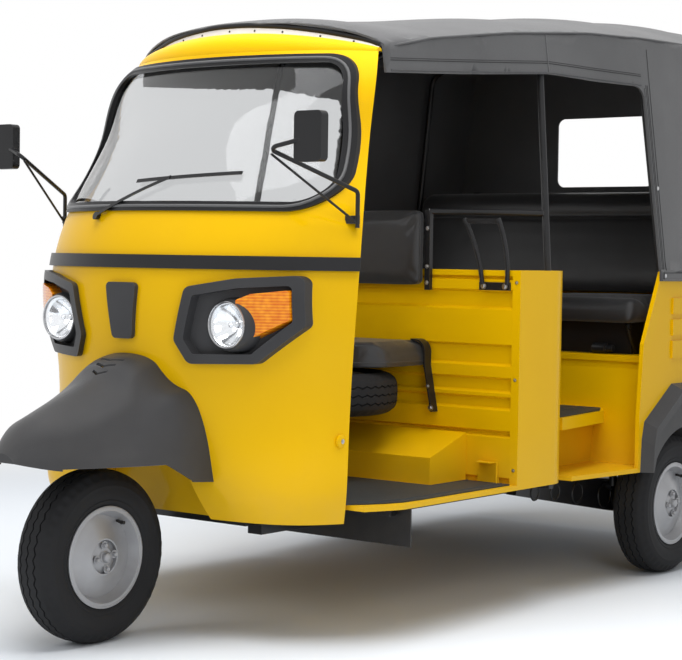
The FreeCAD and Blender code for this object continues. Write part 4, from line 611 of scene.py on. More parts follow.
# headlamps: bright reflector, bulb, ring and dark cup, with a domed lens over them; sizes in millimetres
lampForm = {
    "place": (322.0, 175.0, 872.0), "bowlRadius": 59.0, "bowlHole": 6.5, "bowlDepth": 44.0, "bowlRim": 4.0,
    "lensRadius": 60.5, "lensFront": -14.0, "lensDepth": 12.5, "lensThick": 2.2,
    "cup": [(1.0, 64.0), (4.0, 68.0), (16.0, 72.0), (52.0, 79.0), (56.0, 79.0), (56.0, 60.0), (4.5, 60.0)],
    "ring": [(-3.0, 59.8), (-4.2, 61.8), (-3.0, 64.0), (3.0, 64.8), (6.0, 64.0), (4.0, 59.2)],
    "bulb": [(14, 0), (15, 5), (19, 8.5), (24, 9.5), (30, 8), (48, 7), (48, 0)],
}
reflectorFinish = makeMetal("lampReflector", (0.86, 0.87, 0.88), (0.96, 0.96, 0.97), 0.10, 1.0, 900.0, 0.02)


def lampPart(profile, segments, closed=True):
    # one part turned about the lamp's axis, for both lamps
    return Shape().spin(metres(profile), at(*lampForm["place"]), (0, 1, 0), segments, closed).mirror()


wide, hole = lampForm["bowlRadius"], lampForm["bowlHole"]
radii = [wide - (wide - hole) * i / 8 for i in range(9)]
bowl = [(lampForm["bowlRim"] + lampForm["bowlDepth"] * (1 - (r / wide) ** 2), r) for r in radii]
radii = [lampForm["lensRadius"] * i / 10 for i in range(11)]
lens = [(lampForm["lensFront"] + lampForm["lensDepth"] * (r / lampForm["lensRadius"]) ** 2, r) for r in radii]
inner = [(a + lampForm["lensThick"], r * 0.985) for a, r in lens]
addPiece("lampCups", lampPart(lampForm["cup"], 64), "plastic_dark")
bowlPiece = addPiece("lampReflectors", lampPart(bowl, 40, closed=False), "rim_silver", finish=reflectorFinish,
                     sharpAngle=12.0, recalc=False)
bowlPiece.modifiers.new("backing", "SOLIDIFY").thickness = 0.0012
addPiece("lampRings", lampPart(lampForm["ring"], 64), "rim_silver", finish=steelBright)
addPiece("lampBulbs", lampPart(lampForm["bulb"], 24), "rim_silver", finish=reflectorFinish)
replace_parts(addPiece("lampLenses", lampPart(lens + list(reversed(inner)), 48), "lamp_glass"), "headlamps")
print("headlamps made")


def applyAll(obj):
    # keep the modified form as the piece's own mesh
    bpy.context.view_layer.update()
    shown = obj.evaluated_get(bpy.context.evaluated_depsgraph_get())
    mesh = bpy.data.meshes.new_from_object(shown)
    old = obj.data
    obj.modifiers.clear()
    obj.data = mesh
    bpy.data.meshes.remove(old)


def pointsOf(mesh):
    flat = np.empty(len(mesh.vertices) * 3)
    mesh.vertices.foreach_get("co", flat)
    return flat.reshape(-1, 3)


def smoothVerts(work, verts, times):
    for _ in range(times):
        bmesh.ops.smooth_vert(work, verts=verts, factor=0.5, use_axis_x=True, use_axis_y=True,
                              use_axis_z=True)


def bisect(work, point, normal, **options):
    return bmesh.ops.bisect_plane(work, geom=work.verts[:] + work.edges[:] + work.faces[:], plane_co=point,
                                  plane_no=normal, **options)


def sectionLoft(form, steps=6):
    # section of (y, z) run across the vehicle, drawn in towards rounded ends
    section, half, endRound = form["section"], form["half"], form["round"]
    ys, zs = [p[0] for p in section], [p[1] for p in section]
    cy, cz = (min(ys) + max(ys)) / 2, (min(zs) + max(zs)) / 2
    wide, tall = (max(ys) - min(ys)) / 2, (max(zs) - min(zs)) / 2
    turns = [math.pi / 2 * i / steps for i in range(steps + 1)]
    stations = [(half - endRound * (1 - math.sin(t)), endRound * (1 - math.cos(t))) for t in turns]
    rows = []
    for x, inset in [(-x, inset) for x, inset in reversed(stations)] + stations:
        rows.append([at(x, cy + (y - cy) * (1 - inset / wide), cz + (z - cz) * (1 - inset / tall))
                     for y, z in section])
    return Shape().skin(rows, flip=True)


def shrunk(nodeName, inset):
    # copy of a solid's mesh, drawn in so that it can swell
    mesh = copyNode(nodeName)
    low, high = (Vector(corner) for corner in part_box(nodeName))
    middle, size = (low + high) / 2, high - low
    for vert in mesh.vertices:
        vert.co = [middle[k] + (vert.co[k] - middle[k]) * (1 - 2 * inset / size[k]) for k in range(3)]
    return mesh


clothFrames = 20  # steps of each pad's simulation


def blowUp(obj, form):
    # cloth with air inside and its seams held; how far each point moves is capped
    before = pointsOf(obj.data)
    holders = obj.vertex_groups.new(name="seamHold")
    for index, place in enumerate(before):
        if form["held"](abs(place[0]) * 1000.0, (place[1] - frontAxle) * 1000.0, place[2] * 1000.0):
            holders.add([index], 1.0, "REPLACE")
    cloth = obj.modifiers.new("air", "CLOTH")
    settings = cloth.settings
    settings.use_pressure = True
    settings.uniform_pressure_force = form["pressure"]
    settings.effector_weights.gravity = 0.0
    settings.vertex_group_mass = "seamHold"
    settings.tension_stiffness = settings.compression_stiffness = form["stiff"]
    settings.bending_stiffness = 0.6
    settings.quality = 4
    cloth.point_cache.frame_start = 1
    cloth.point_cache.frame_end = clothFrames
    for step in range(1, clothFrames + 1):
        bpy.context.scene.frame_set(step)
    applyAll(obj)
    bpy.context.scene.frame_set(1)
    obj.vertex_groups.clear()
    move = pointsOf(obj.data) - before
    size = np.linalg.norm(move, axis=1, keepdims=True)
    return before + move * np.minimum(1.0, form["cap"] / np.maximum(size, 1e-9))


def softPad(name, nodeName, form):
    # remeshed, blown up between its seams, and kept inside the solid's own space
    mesh = meshOf(name, sectionLoft(form)) if "section" in form else shrunk(nodeName, form["shrink"])
    obj = linkNew(name, mesh)
    remesh = obj.modifiers.new("even", "REMESH")
    remesh.mode = "VOXEL"
    remesh.voxel_size = form["voxel"]
    applyAll(obj)
    place = blowUp(obj, form)
    low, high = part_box(nodeName)
    obj.data.vertices.foreach_set("co", np.clip(place, np.array(low), np.array(high)).ravel())
    work = bmesh.new()
    work.from_mesh(obj.data)
    for vert in work.verts:
        place = vert.co * form["creaseSize"]
        crease = noise.noise(place) + 0.5 * noise.noise(place * 2.3)
        vert.co -= vert.normal * max(0.0, crease) * form["crease"]
    smoothVerts(work, work.verts, form["smooth"])
    work.to_mesh(obj.data)
    work.free()
    obj.data.shade_smooth()
    dress(obj, "seat_vinyl")
    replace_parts(obj, nodeName)
    return obj


def seamAround(name, obj, point, normal, radius=0.0022, spacing=0.010):
    # welt that follows the cut of a plane through a pad
    work = bmesh.new()
    work.from_mesh(obj.data)
    cut = bisect(work, point, Vector(normal), clear_inner=True, clear_outer=True)["geom_cut"]
    links = {}
    for edge in (e for e in cut if isinstance(e, bmesh.types.BMEdge)):
        a, b = edge.verts
        links.setdefault(a, []).append(b)
        links.setdefault(b, []).append(a)
    loops, seen = [], set()
    for first in sorted(links, key=lambda v: v.index):
        loop, here = [], first
        while here is not None and here not in seen:
            seen.add(here)
            loop.append(here.co.copy())
            here = next((v for v in links[here] if v not in seen), None)
        loops.append(loop)
    work.free()
    line = max(loops, key=len)
    line = line[::max(1, int(spacing / max(1e-4, (line[1] - line[0]).length)))]
    addPiece(name, Shape().tube(line, radius, 8, closed=True), "seat_vinyl")


# passengers' cushion: front roll, a sewn groove behind it and two channels on the top
# each pad's held tells, from x, y, z in millimetres, where its seams and its flat back stay put
cushionForm = {
    "voxel": 0.007, "pressure": 5.0, "stiff": 12.0, "cap": 0.014, "creaseSize": 9.0, "crease": 0.0016,
    "smooth": 1, "fill": 0.85, "half": 614.0, "round": 30.0,
    "held": lambda x, y, z: z < 856.0 or abs(y - 1946.0) < 5.0 or (y > 1946.0 and abs(x - 205.0) < 5.0),
    "section": [(1884, 853), (1876, 866), (1873, 884), (1875, 906), (1884, 924), (1900, 934), (1920, 936),
                (1937, 931), (1946, 923), (1956, 930), (1990, 937), (2080, 940), (2180, 938), (2250, 932),
                (2278, 920), (2284, 900), (2284, 870), (2278, 855)],
}
softPad("passengerCushionPad", "passenger_cushion", cushionForm)


def leaned(z):
    # the backrest's front plane leans rearward as it rises
    return 2290.3 + (z - 930.0) * 100.0 / 387.0


# passengers' backrest: leaning panel with a roll along its top
backForm = {
    "voxel": 0.007, "pressure": 5.0, "stiff": 12.0, "cap": 0.013, "creaseSize": 7.0, "crease": 0.0018,
    "smooth": 1, "fill": 0.8, "half": 612.0, "round": 26.0,
    "held": lambda x, y, z: y - leaned(z) > 84.0 or (abs(z - 1222.0) < 5.0 and y - leaned(z) < 40.0),
    "section": [(leaned(z) + depth, z) for depth, z in (
        (14, 936), (7, 960), (5, 1010), (4, 1080), (5, 1150), (8, 1200), (17, 1222), (7, 1242),
        (5, 1262), (9, 1288), (24, 1305), (48, 1311), (76, 1308), (89, 1296), (91, 1200), (91, 1040),
        (90, 950), (78, 936))],
}
backrest = softPad("passengerBackrestPad", "passenger_backrest", backForm)

# driver's seat: flat squab with rounded front corners and a welt low round its side
squabForm = {
    "voxel": 0.006, "pressure": 3.0, "stiff": 16.0, "cap": 0.006, "creaseSize": 11.0, "crease": 0.0012,
    "smooth": 2, "fill": 0.95, "shrink": 0.004,
    "held": lambda x, y, z: z < 733.5 or abs(z - 752.0) < 4.0,
}
squab = softPad("driverSeatPad", "driver_seat", squabForm)

# driver's backrest: crowned panel with a welt where its front meets the side band
padForm = {
    "voxel": 0.0055, "pressure": 5.0, "stiff": 12.0, "cap": 0.010, "creaseSize": 12.0, "crease": 0.0014,
    "smooth": 2, "fill": 0.8, "half": 318.0, "round": 24.0,
    "held": lambda x, y, z: y > 1098.8 or abs(1072.8 - y) < 3.5,
    "section": [(1104, 978), (1080, 977), (1070, 979), (1062, 984), (1058, 996), (1056, 1030), (1055, 1090),
                (1056, 1150), (1058, 1186), (1062, 1198), (1070, 1203), (1080, 1205), (1104, 1204)],
}
driverPad = softPad("driverBackrestPad", "driver_backrest", padForm)
seamAround("driverPadWelt", driverPad, at(0, 1072, 1090), (0, 1, 0))
seamAround("driverSeatWelt", squab, at(0, 950, 744), (0, 0, 1))
seamAround("passengerBackWelt", backrest, at(560, 0, 0), (1, 0, 0))
print("seats padded and sewn")


# hood: coated cloth that sags a little between the hoops, with hems, seams and studs
hoodForm = {
    "step": 0.045, "supports": (600.0, 1410.0, 1930.0, 2440.0, 2751.0), "sag": 0.007, "ripple": 0.0016,
    "smooth": 2, "firmAngle": 32.0, "middle": 1.45, "sagAbove": 1.1, "rearDrop": 2740.0, "taut": 0.07,
    "seamShares": ((0.1820, 0.723, 0.897), (0.3183, 0.776, 0.944), (0.4547, 0.832, 0.973),
                   (0.5910, 0.912, 0.992), (0.7273, 0.984, 0.998), (0.8637, 1.008, 1.000),
                   (1.0, 0.984, 0.992)),
    "length": 2751.3, "seamX": 625.0, "seamZ": 1800.0,
    "flap": ((640.0, 1581.0), (1410.0, 1637.0), (1895.0, 1634.0)),
    "window": (213.0, 1345.0, 1612.0, 30.0), "frontHalf": 0.462, "frontStart": 0.540, "frontSweep": 0.122,
    "lift": 0.024, "liftLength": 0.30, "liftAbove": 1.62, "flatSize": (2.9, 3.2), "flatArea": 5.4,
    "studs": ((1925, 1012), (2130, 1010), (2340, 1010), (2550, 1010), (2715, 1010), (1925, 1300)),
    "stud": [(-0.0005, 0), (-0.0005, 0.0070), (0.0012, 0.0068), (0.0030, 0.0045), (0.0036, 0)],
}


def between(rows, place):
    # values from a table, in straight lines between its rows
    for low, high in zip(rows, rows[1:]):
        if place <= high[0] or high is rows[-1]:
            t = (place - low[0]) / (high[0] - low[0])
            return [a + (b - a) * t for a, b in zip(low[1:], high[1:])]


def seamPlace(y):
    # x and z of the roof seam at a place along the hood
    x, z = between(hoodForm["seamShares"], y / hoodForm["length"])
    return hoodForm["seamX"] * x, hoodForm["seamZ"] * z


def frontLift(x):
    # rise of the hood's front edge over the header, in metres
    return hoodForm["lift"] * math.sqrt(max(0.0, 1.0 - (abs(x) / hoodForm["frontHalf"]) ** 4))


def hoodSag(y):
    # how far the cloth hangs in between two hoops, in metres
    supports = hoodForm["supports"]
    for first, last in zip(supports, supports[1:]):
        if first <= y <= last:
            return math.sin(math.pi * (y - first) / (last - first)) ** 2 * hoodForm["sag"]
    return 0.0


def makeHoodCloth():
    mesh = copyNode("hood")
    work = bmesh.new()
    work.from_mesh(mesh)
    bmesh.ops.remove_doubles(work, verts=work.verts, dist=1e-5)
    low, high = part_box("hood")
    for k in range(3):
        place = low[k] + hoodForm["step"] / 2
        while place < high[k]:
            spot, way = Vector((0, 0, 0)), Vector((0, 0, 0))
            spot[k], way[k] = place, 1.0
            bisect(work, spot, way)
            place += hoodForm["step"]
    sharp = math.radians(hoodForm["firmAngle"])
    firm = {v for e in work.edges if not e.is_manifold or e.calc_face_angle(0.0) > sharp for v in e.verts}
    smoothVerts(work, [v for v in work.verts if v not in firm], hoodForm["smooth"])
    frontHalf, reach = hoodForm["frontHalf"], hoodForm["liftLength"]
    for vert in work.verts:
        co = vert.co.copy()
        y = (co.y - frontAxle) * 1000.0
        inward = Vector((-co.x, 0, hoodForm["middle"] - co.z))
        if co.z > hoodForm["sagAbove"] and y < hoodForm["rearDrop"]:
            # the roof seam stays taut
            edge = min(1.0, abs(co.z - seamPlace(y)[1] / 1000.0) / hoodForm["taut"])
            vert.co += inward / inward.length * hoodSag(y) * edge
        sweep = hoodForm["frontSweep"] * min(1.0, abs(co.x) / frontHalf) ** 2
        start = frontAxle + hoodForm["frontStart"] + sweep
        if co.z > hoodForm["liftAbove"] and abs(co.x) < frontHalf and co.y < start + reach:
            fade = 1.0 - max(0.0, co.y - start) / reach
            vert.co.z += frontLift(co.x) * fade * fade * (3.0 - 2.0 * fade)
        ripple = noise.noise(Vector((co.x * 3.0, co.y * 8.0, co.z * 5.0)))
        vert.co += inward.normalized() * max(0.0, ripple) * hoodForm["ripple"]
    work.to_mesh(mesh)
    work.free()
    mesh.shade_smooth()
    mesh.set_sharp_from_angle(angle=math.radians(34))
    obj = dress(linkNew("hoodCloth", mesh), "hood_vinyl")
    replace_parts(obj, "hood")
    return obj


hoodCloth = makeHoodCloth()
clothTree = surfaceTree(hoodCloth)
hoodTrim, stitchShape, studShape = Shape(), Shape(), Shape()
proud = 0.0004  # how far seams stand over the cloth


def sidePath(points, lift=proud):
    # places on the left side of the hood from (y, z) in millimetres
    return castPath(clothTree, [at(1100, y, z) for y, z in points], (-1, 0, 0), lift)


def rearPath(points):
    # places on the hood's rear from (x, z) in millimetres
    return castPath(clothTree, [at(x, 3100, z) for x, z in points], (0, -1, 0), proud)


def sew(line, radius, closed=False, flat=1.0):
    # thick lines are hems and welts, thin ones are stitching
    (hoodTrim if radius > 0.0015 else stitchShape).tube(line, radius, 6, closed=closed, flat=flat)


roofSeam = []
for y in np.linspace(690, 2742, 48):
    x, z = seamPlace(y)
    roofSeam.append(clothTree.find_nearest(at(x, y, z))[0])
hoodTrim.tube(roofSeam, 0.0038, 8)
flapEdge = [(y, between(hoodForm["flap"], y)[0]) for y in np.linspace(690, 1885, 40)]
for offset, radius in ((5.0, 0.0030), (34.0, 0.0013), (40.0, 0.0009)):
    sew(sidePath([(y, z + offset) for y, z in flapEdge]), radius, flat=0.6)
sew(sidePath([(1410, 1643 + k * 9.0) for k in range(15)]), 0.0022)
sew(sidePath([(1901, z) for z in np.linspace(1001, 1630, 34)]), 0.0030)
for y in (1909.0, 1917.0):
    sew(sidePath([(y, z) for z in np.linspace(1001, 1640, 34)]), 0.0011)
for z, radius in ((998.0, 0.0028), (1022.0, 0.0011)):
    around = sidePath([(y, z) for y in np.linspace(1901, 2740, 30)])
    sew(around + rearPath([(x, z) for x in np.linspace(690, 8, 24)]), radius)
for y in (1930.0, 2440.0):
    sew(sidePath([(y, z) for z in np.linspace(1030, 1760, 30)]), 0.0012)
sew(rearPath([(630, z) for z in np.linspace(1000, 1760, 30)]), 0.0022)
hoodTrim.mirror()
stitchShape.mirror()
half, low, high, corner = hoodForm["window"]
for grow, radius in ((7.0, 0.0034), (22.0, 0.0011)):
    ring = []
    for cx, cz, first in ((half - corner, high - corner, 0.0), (-half + corner, high - corner, 90.0),
                          (-half + corner, low + corner, 180.0), (half - corner, low + corner, 270.0)):
        for k in range(7):
            turn, reach = math.radians(first + 15.0 * k), corner + grow
            ring.append(Vector((cx + reach * math.cos(turn), cz + reach * math.sin(turn))))
    sew(rearPath(finely(ring, 30.0)), radius, closed=True)
for spot in sidePath(hoodForm["studs"], 0.0):
    studShape.spin(hoodForm["stud"], spot, (1, 0, 0), 16)
hoodTrimPiece = addPiece("hoodSeams", hoodTrim, "hood_vinyl")
stitchFinish = makeMoulded("hoodStitch", grey(0.012), grey(0.03, 0.0), 0.6, 900.0, 0.2)
stitchPiece = addPiece("hoodStitching", stitchShape, "hood_vinyl", finish=stitchFinish)
addPiece("hoodStuds", studShape.mirror(), "rim_silver", finish=steelBright)
print("hood cut, sewn and studded")


# front edge of the hood: pale strip with dark screws, and a black bead that stands over it
beadForm = {
    "half": 0.457, "stations": 41, "near": 0.022, "rearmost": 0.006, "radius": 0.0088, "screws": 9,
    "strip": Vector((0, 0.002, 0)), "foot": Vector((0, -0.010, -0.003)), "head": Vector((0, -0.003, 0)),
    "screw": [(-0.001, 0), (-0.001, 0.0034), (0.0012, 0.0030), (0.0018, 0)],
}
header = nodes["roof_header"]
headerPoints = [header.matrix_world @ v.co for v in header.data.vertices]
seamLine = []
for x in np.linspace(-beadForm["half"], beadForm["half"], beadForm["stations"]):
    near = [p for p in headerPoints if abs(p.x - x) < beadForm["near"]]
    last = max(p.y for p in near)
    top = max(p.z for p in near if p.y > last - beadForm["rearmost"])
    seamLine.append(Vector((x, last - 0.002, top)))
for _ in range(4):
    inner = [(a + b * 2 + c) / 4 for a, b, c in zip(seamLine, seamLine[1:], seamLine[2:])]
    seamLine = [seamLine[0]] + inner + [seamLine[-1]]
beadLine = [p + Vector((0, 0.002, frontLift(p.x) + 0.004)) for p in seamLine]
addPiece("hoodBead", Shape().tube(smoothPath(beadLine, 3), beadForm["radius"], 12), "rubber_black")
edges = [(a + beadForm["foot"], b + beadForm["head"]) for a, b in zip(seamLine, beadLine)]
thick = beadForm["strip"]
stripShape = Shape().skin([[low, high, high + thick, low + thick] for low, high in edges])
screwShape = Shape()
for k in range(beadForm["screws"]):
    low, high = edges[int((k + 0.5) / beadForm["screws"] * (beadForm["stations"] - 1))]
    facing = Vector((0, low.z - high.z, high.y - low.y))
    screwShape.spin(beadForm["screw"], low.lerp(high, 0.5), facing, 12)
addPiece("headerStrip", stripShape, "rim_silver", finish=steelPale, sharpAngle=50.0)
addPiece("headerScrews", screwShape, "frame_black")
print("bead, strip and screws along the header made")

# grey locking strip along the middle of the windscreen's rubber; its pale grey is partly a painted highlight
# along the rubber's middle
gasketForm = {"low": 1192.0, "high": 1616.0, "lowHalf": 517.0, "highHalf": 443.0, "corner": 85.0, "reach": 42,
              "spacing": 22.0, "radius": 0.0046}
corners = [Vector((hand * gasketForm[row + "Half"], gasketForm[row])) for row, hand in (
    ("low", 1), ("high", 1), ("high", -1), ("low", -1))]
outline = []
for i, here in enumerate(corners):
    toBefore, toAfter = (corners[i - 1] - here).normalized(), (corners[(i + 1) % 4] - here).normalized()
    half, corner = toBefore.angle(toAfter) / 2, gasketForm["corner"]
    middle = here + (toBefore + toAfter).normalized() * (corner / math.sin(half))
    start = here + toBefore * (corner / math.tan(half)) - middle
    end = here + toAfter * (corner / math.tan(half)) - middle
    outline += [middle + start.lerp(end, k / 8).normalized() * corner for k in range(9)]
outline = finely(outline, gasketForm["spacing"])
gasketTree = surfaceTree(nodes["windscreen_gasket"])
line = []
for i, spot in enumerate(outline):
    along = (outline[(i + 1) % len(outline)] - outline[i - 1]).normalized()
    outward = Vector((along.y, -along.x))
    trials = [spot + outward * step for step in range(-gasketForm["reach"], gasketForm["reach"] + 1, 2)]
    hits = castPath(gasketTree, [at(p.x, -200.0, p.y) for p in trials], (0, 1, 0))
    if hits:
        line.append(hits[len(hits) // 2])
for _ in range(2):
    line = [(line[i - 1] + line[i] * 2 + line[(i + 1) % len(line)]) / 4 for i in range(len(line))]
addPiece("gasketStrip", Shape().tube(line, gasketForm["radius"], 10, closed=True), "rubber_black",
         finish=lockStripAndHighlight)
print("windscreen's locking strip made")


# rubber mats on the cab floor and the passengers' deck
matForm = {
    "thick": 0.004, "rim": 0.0022, "rib": 0.0016, "ribs": range(-600, 540, 38), "cabFloor": 386.3,
    "cabTop": 390.3, "deckFloor": 566.3, "deckTop": 570.2,
    "cabHalf": [(0, 332), (480, 332), (545, 400), (588, 450), (618, 505), (636, 560), (642, 640), (642, 1096),
                (482, 1096), (482, 911), (0, 911)],
    "deck": [(558, 1431), (606, 1438), (562, 1762), (520, 1840), (-640, 1840), (-640, 1431)],
    "leftRim": [(560, 452), (592, 510), (610, 568), (616, 650), (616, 1090)],
    "innerRim": [(492, 911), (492, 1094)], "rightRim": [(-616, 1090), (-616, 650), (-610, 568)],
}
thick = (0, 0, matForm["thick"])
cabMat = Shape().prism([at(x, y, matForm["cabFloor"]) for x, y in matForm["cabHalf"]], thick).mirror()
for part, steps in (("leftRim", 4), ("innerRim", 1), ("rightRim", 1)):
    cabMat.tube(smoothPath([at(x, y, matForm["cabTop"]) for x, y in matForm[part]], steps), matForm["rim"], 6)
deckMat = Shape().prism([at(x, y, matForm["deckFloor"]) for x, y in matForm["deck"]], thick)
for x in matForm["ribs"]:
    deckMat.tube([at(x, 1440, matForm["deckTop"]), at(x, 1832, matForm["deckTop"])], matForm["rib"], 6)
matFinish = makeMoulded("matRubber", (0.018, 0.023, 0.026), (0.028, 0.034, 0.038), 0.55, 300.0, 0.25)
addPiece("cabMat", cabMat, "rubber_black", finish=matFinish, bevel=0.0008)
addPiece("deckMat", deckMat, "rubber_black", finish=matFinish, bevel=0.0008)

# bolts on the partition, the seat straps and the pads: place, radius and height in millimetres
boltForm = {
    "bothSides": [(365.4, 1073.0, 602.0, 6.5, 6.0), (353.4, 1073.0, 668.0, 4.5, 5.0),
                  (331.2, 1090.8, 984.0, 4.5, 5.0), (331.2, 1090.8, 1034.0, 4.5, 5.0),
                  (331.2, 1090.8, 1150.0, 4.5, 5.0), (646.0, 1106.8, 430.0, 3.6, 3.0),
                  (646.0, 1106.8, 700.0, 3.6, 3.0), (646.0, 1106.8, 990.0, 3.6, 3.0)],
    "leftOnly": [(534.0, 1098.8, 978.0, 6.5, 7.0), (610.0, 1098.8, 978.0, 6.5, 7.0)],
    "cap": [(-2, 0), (-2, 19), (3, 19), (6, 14), (6.5, 0)],
}
boltShape, bracketShape = Shape(), Shape()
otherSide = [(-x, *rest) for x, *rest in boltForm["bothSides"]]
for x, y, z, radius, height in boltForm["leftOnly"] + boltForm["bothSides"] + otherSide:
    boltShape.bolt(at(x, y, z), (0, -1, 0), radius / 1000.0, height / 1000.0)
# round cap with a bolt on the left edge of the front shell
for spot in castPath(surfaceTree(nodes["front_shell"]), [at(1100, 398, 560)], (-1, 0, 0)):
    bracketShape.spin(metres(boltForm["cap"]), spot, (1, 0, 0), 24)
    boltShape.bolt(spot + Vector((0.006, 0, 0)), (1, 0, 0), 0.0045, 0.004)
# bent bracket on the cab floor beside each column, in three plates of corners and thickness
bracketForm = [
    ([(520, 1104, 386.4), (600, 1104, 386.4), (590, 1104, 452), (530, 1104, 452)], (0, -0.003, 0)),
    ([(530, 1104, 449), (590, 1104, 449), (584, 1070, 449), (536, 1070, 449)], (0, 0, 0.003)),
    ([(586, 1104, 452), (590, 1104, 452), (602, 1086, 386.4), (598, 1086, 386.4)], (0, 0.003, 0)),
]
for side in (1, -1):
    for plate, thickness in bracketForm:
        bracketShape.prism([at(side * x, y, z) for x, y, z in plate], thickness)
addPiece("bodyBolts", boltShape, "rim_silver", finish=steelBright)
addPiece("bodyBrackets", bracketShape, "body_yellow", bevel=0.0006)

# round embossings along the trailing arms
armForm = {"face": 456.2, "rounds": ((1539, 307, 26), (1664, 299, 31), (1809, 282, 36), (1990, 258, 44))}
armShape = Shape()
for y, z, r in armForm["rounds"]:
    ring = [(-1.0, r - 8), (3.5, r - 6), (4.5, r - 3), (3.5, r), (-1.0, r + 2)]
    disc = [(-1.0, 0), (1.2, 0), (1.2, r - 7), (-1.0, r - 7)]
    for profile in (ring, disc):
        armShape.spin(metres(profile), at(armForm["face"], y, z), (1, 0, 0), 40)
addPiece("armEmbossings", armShape.mirror(), "frame_black")

# small parts under the passengers' seat: two struts with their bolts and a fuel tap
underForm = {
    "strut": [(560, 1935, 846), (560, 1990, 752)], "strutRadius": 0.007, "bolt": (568, 1935, 842),
    "tap": [(-30, 0), (-30, 16), (-26, 18), (18, 18), (22, 12), (45, 12), (46, 0)],
    "tapPlace": (470, 1925, 764),
}
underShape = Shape().tube([at(*p) for p in underForm["strut"]], underForm["strutRadius"], 10)
underShape.bolt(at(*underForm["bolt"]), (1, 0, 0), 0.010, 0.008).mirror()
underShape.spin(metres(underForm["tap"]), at(*underForm["tapPlace"]), (1, 0, 0), 24)
addPiece("underSeatParts", underShape, "frame_black")

# mirrors' silvered faces on their rear sides, just inside the housing's rim
mirrorForm = {"inset": 0.0112, "power": 0.5, "points": 48, "sunk": 0.0005, "thick": 0.0015}
mirrorFinish = makeMetal("mirrorFace", (0.80, 0.82, 0.83), (0.88, 0.89, 0.90), 0.05, 1.0, 900.0, 0.005)
head = [v.co for v in nodes["mirror_heads"].data.vertices if v.co.x > 0]
low, high = (Vector([pick(p[k] for p in head) for k in range(3)]) for pick in (min, max))
middle, half = (low + high) / 2, (high - low) / 2
starts = []
for k in range(mirrorForm["points"]):
    turn = 2 * math.pi * k / mirrorForm["points"]
    c, s = (math.copysign(abs(v) ** mirrorForm["power"], v) for v in (math.cos(turn), math.sin(turn)))
    starts.append((middle.x + c * (half.x - mirrorForm["inset"]), high.y + 0.5,
                   middle.z + s * (half.z - mirrorForm["inset"])))
ring = castPath(surfaceTree(nodes["mirror_heads"]), starts, (0, -1, 0), -mirrorForm["sunk"])
mirrorShape = Shape().prism(ring, (0, mirrorForm["thick"], 0)).mirror()
addPiece("mirrorFaces", mirrorShape, "rim_silver", finish=mirrorFinish)
print("mats, bolts, brackets and mirrors made")

# grips and levers at the handlebar's ends
gripForm = {
    "length": 0.112, "radius": 0.0165, "core": 0.0112, "flange": 0.020, "rings": 9, "pitch": 0.0105,
    "groove": 0.0016, "lever": 0.0045,
    "leverWay": [(0, 0, 0), (0.01, -0.034, -0.004), (0.06, -0.05, -0.008), (0.105, -0.052, -0.012)],
}
barPoints = [v.co.copy() for v in nodes["handlebar"].data.vertices]
barEnd = max(p.x for p in barPoints)
endRing = [p for p in barPoints if p.x > barEnd - 0.012]
innerRing = [p for p in barPoints if barEnd - 0.16 < p.x < barEnd - 0.075]
tip = sum(endRing, Vector()) / len(endRing)
inside = sum(innerRing, Vector()) / len(innerRing) if innerRing else tip - Vector((0.1, 0, 0))
way = (tip - inside).normalized()
length, radius, core, flange = (gripForm[part] for part in ("length", "radius", "core", "flange"))
profile = [(-length, core), (-length, flange), (0.005 - length, flange), (0.006 - length, radius)]
for k in range(gripForm["rings"]):
    start, deep = 0.012 - length + k * gripForm["pitch"], radius - gripForm["groove"]
    profile += [(start, radius), (start + 0.0015, deep), (start + 0.0045, deep), (start + 0.006, radius)]
profile += [(0.0, radius), (0.0005, radius * 0.8), (0.0008, core)]
addPiece("barGrips", Shape().spin(profile, tip, way, 24).mirror(), "rubber_black", "steering")
root = tip - way * (length + 0.012)
leverPath = smoothPath([root + Vector(shift) for shift in gripForm["leverWay"]], 5)
leverShape = Shape().tube(leverPath, gripForm["lever"], 10, flat=1.5)
leverShape.spin([(-0.011, core), (-0.011, radius), (0.011, radius), (0.011, core)], root, way, 20)
addPiece("barLevers", leverShape.mirror(), "rim_silver", "steering", finish=steelBright)
print("grips and levers made")


# pale floor and backdrop with soft lamps overhead
studio = {
    "floorSize": 40.0, "floorColour": (0.79, 0.83, 0.88), "fadeStart": 2.5, "fadeEnd": 4.8,
    "worldFill": 0.30, "backdrop": 1.0, "aim": (0.0, -0.3, 0.8),
    "lamps": [  # name, place, size in x and y, watts
        ("overheadLamp", (0.3, -0.6, 4.4), (3.4, 4.4), 285.0),
        ("frontLamp", (-1.8, -5.2, 3.0), (2.0, 2.4), 58.0),
        ("sideLamp", (3.9, -3.0, 2.3), (1.6, 2.4), 44.0),
    ],
}


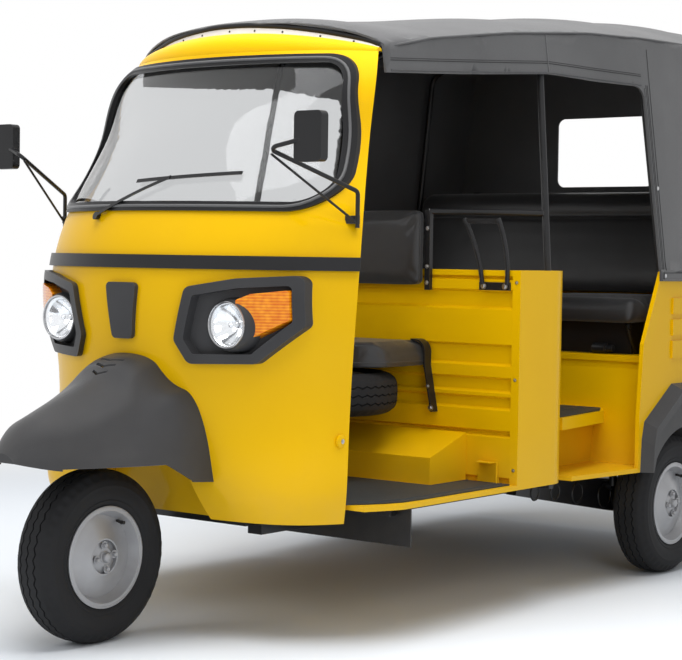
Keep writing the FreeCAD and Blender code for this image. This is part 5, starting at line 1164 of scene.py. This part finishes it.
def addLamp(name, place, size, watts):
    data = bpy.data.lights.new(name, "AREA")
    data.shape = "RECTANGLE"
    data.size, data.size_y = size
    data.energy = watts
    lamp = linkNew(name, data)
    lamp.location = place
    lamp.rotation_euler = (Vector(studio["aim"]) - Vector(place)).to_track_quat("-Z", "Y").to_euler()
    lamp.visible_glossy = False  # a mirrored lamp would hide half the windscreen


def seenDirectly(tree):
    path = addNode(tree, "ShaderNodeLightPath").outputs
    return maths(tree, "MAXIMUM", path["Is Camera Ray"],
                 maths(tree, "MAXIMUM", path["Is Glossy Ray"], path["Is Transmission Ray"]))


def makeFloor():
    mesh = bpy.data.meshes.new("studioFloor")
    half = studio["floorSize"] / 2
    corners = [(-half, -half, 0), (half, -half, 0), (half, half, 0), (-half, half, 0)]
    mesh.from_pydata(corners, [], [(0, 1, 2, 3)])
    linkNew("studioFloor", mesh)
    material, tree, shader = startMaterial("floorPaper", Base_Color=studio["floorColour"], Roughness=0.9,
                                           Specular_IOR_Level=0.0)
    # past the shadow the paper is as white as the backdrop, so no horizon shows
    spot = addNode(tree, "ShaderNodeTexCoord").outputs["Object"]
    away = addNode(tree, "ShaderNodeVectorMath", {0: spot}, operation="LENGTH").outputs["Value"]
    fade = addNode(tree, "ShaderNodeMapRange", {"Value": away, "From Min": studio["fadeStart"],
                   "From Max": studio["fadeEnd"]}, interpolation_type="SMOOTHSTEP").outputs["Result"]
    paintedRibLight = addNode(tree, "ShaderNodeEmission", {"Color": (1.0, 1.0, 1.0), "Strength": studio["backdrop"]})
    mixShaders(tree, maths(tree, "MULTIPLY", fade, seenDirectly(tree)), shader.outputs["BSDF"],
               paintedRibLight.outputs["Emission"])
    mesh.materials.append(material)


def makeWorld():
    world = bpy.data.worlds.new("studioWorld")
    bpy.context.scene.world = world
    world.use_nodes = True
    tree = world.node_tree
    fill = tree.nodes["Background"].inputs
    feed(tree, fill["Color"], (1.0, 1.0, 1.0))
    strength = mixNumbers(tree, seenDirectly(tree), studio["worldFill"], studio["backdrop"])
    feed(tree, fill["Strength"], strength)


makeFloor()
makeWorld()
for lamp in studio["lamps"]:
    addLamp(*lamp)
bpy.context.scene.view_settings.view_transform = "Standard"
print("studio lit with", len(studio["lamps"]), "lamps")
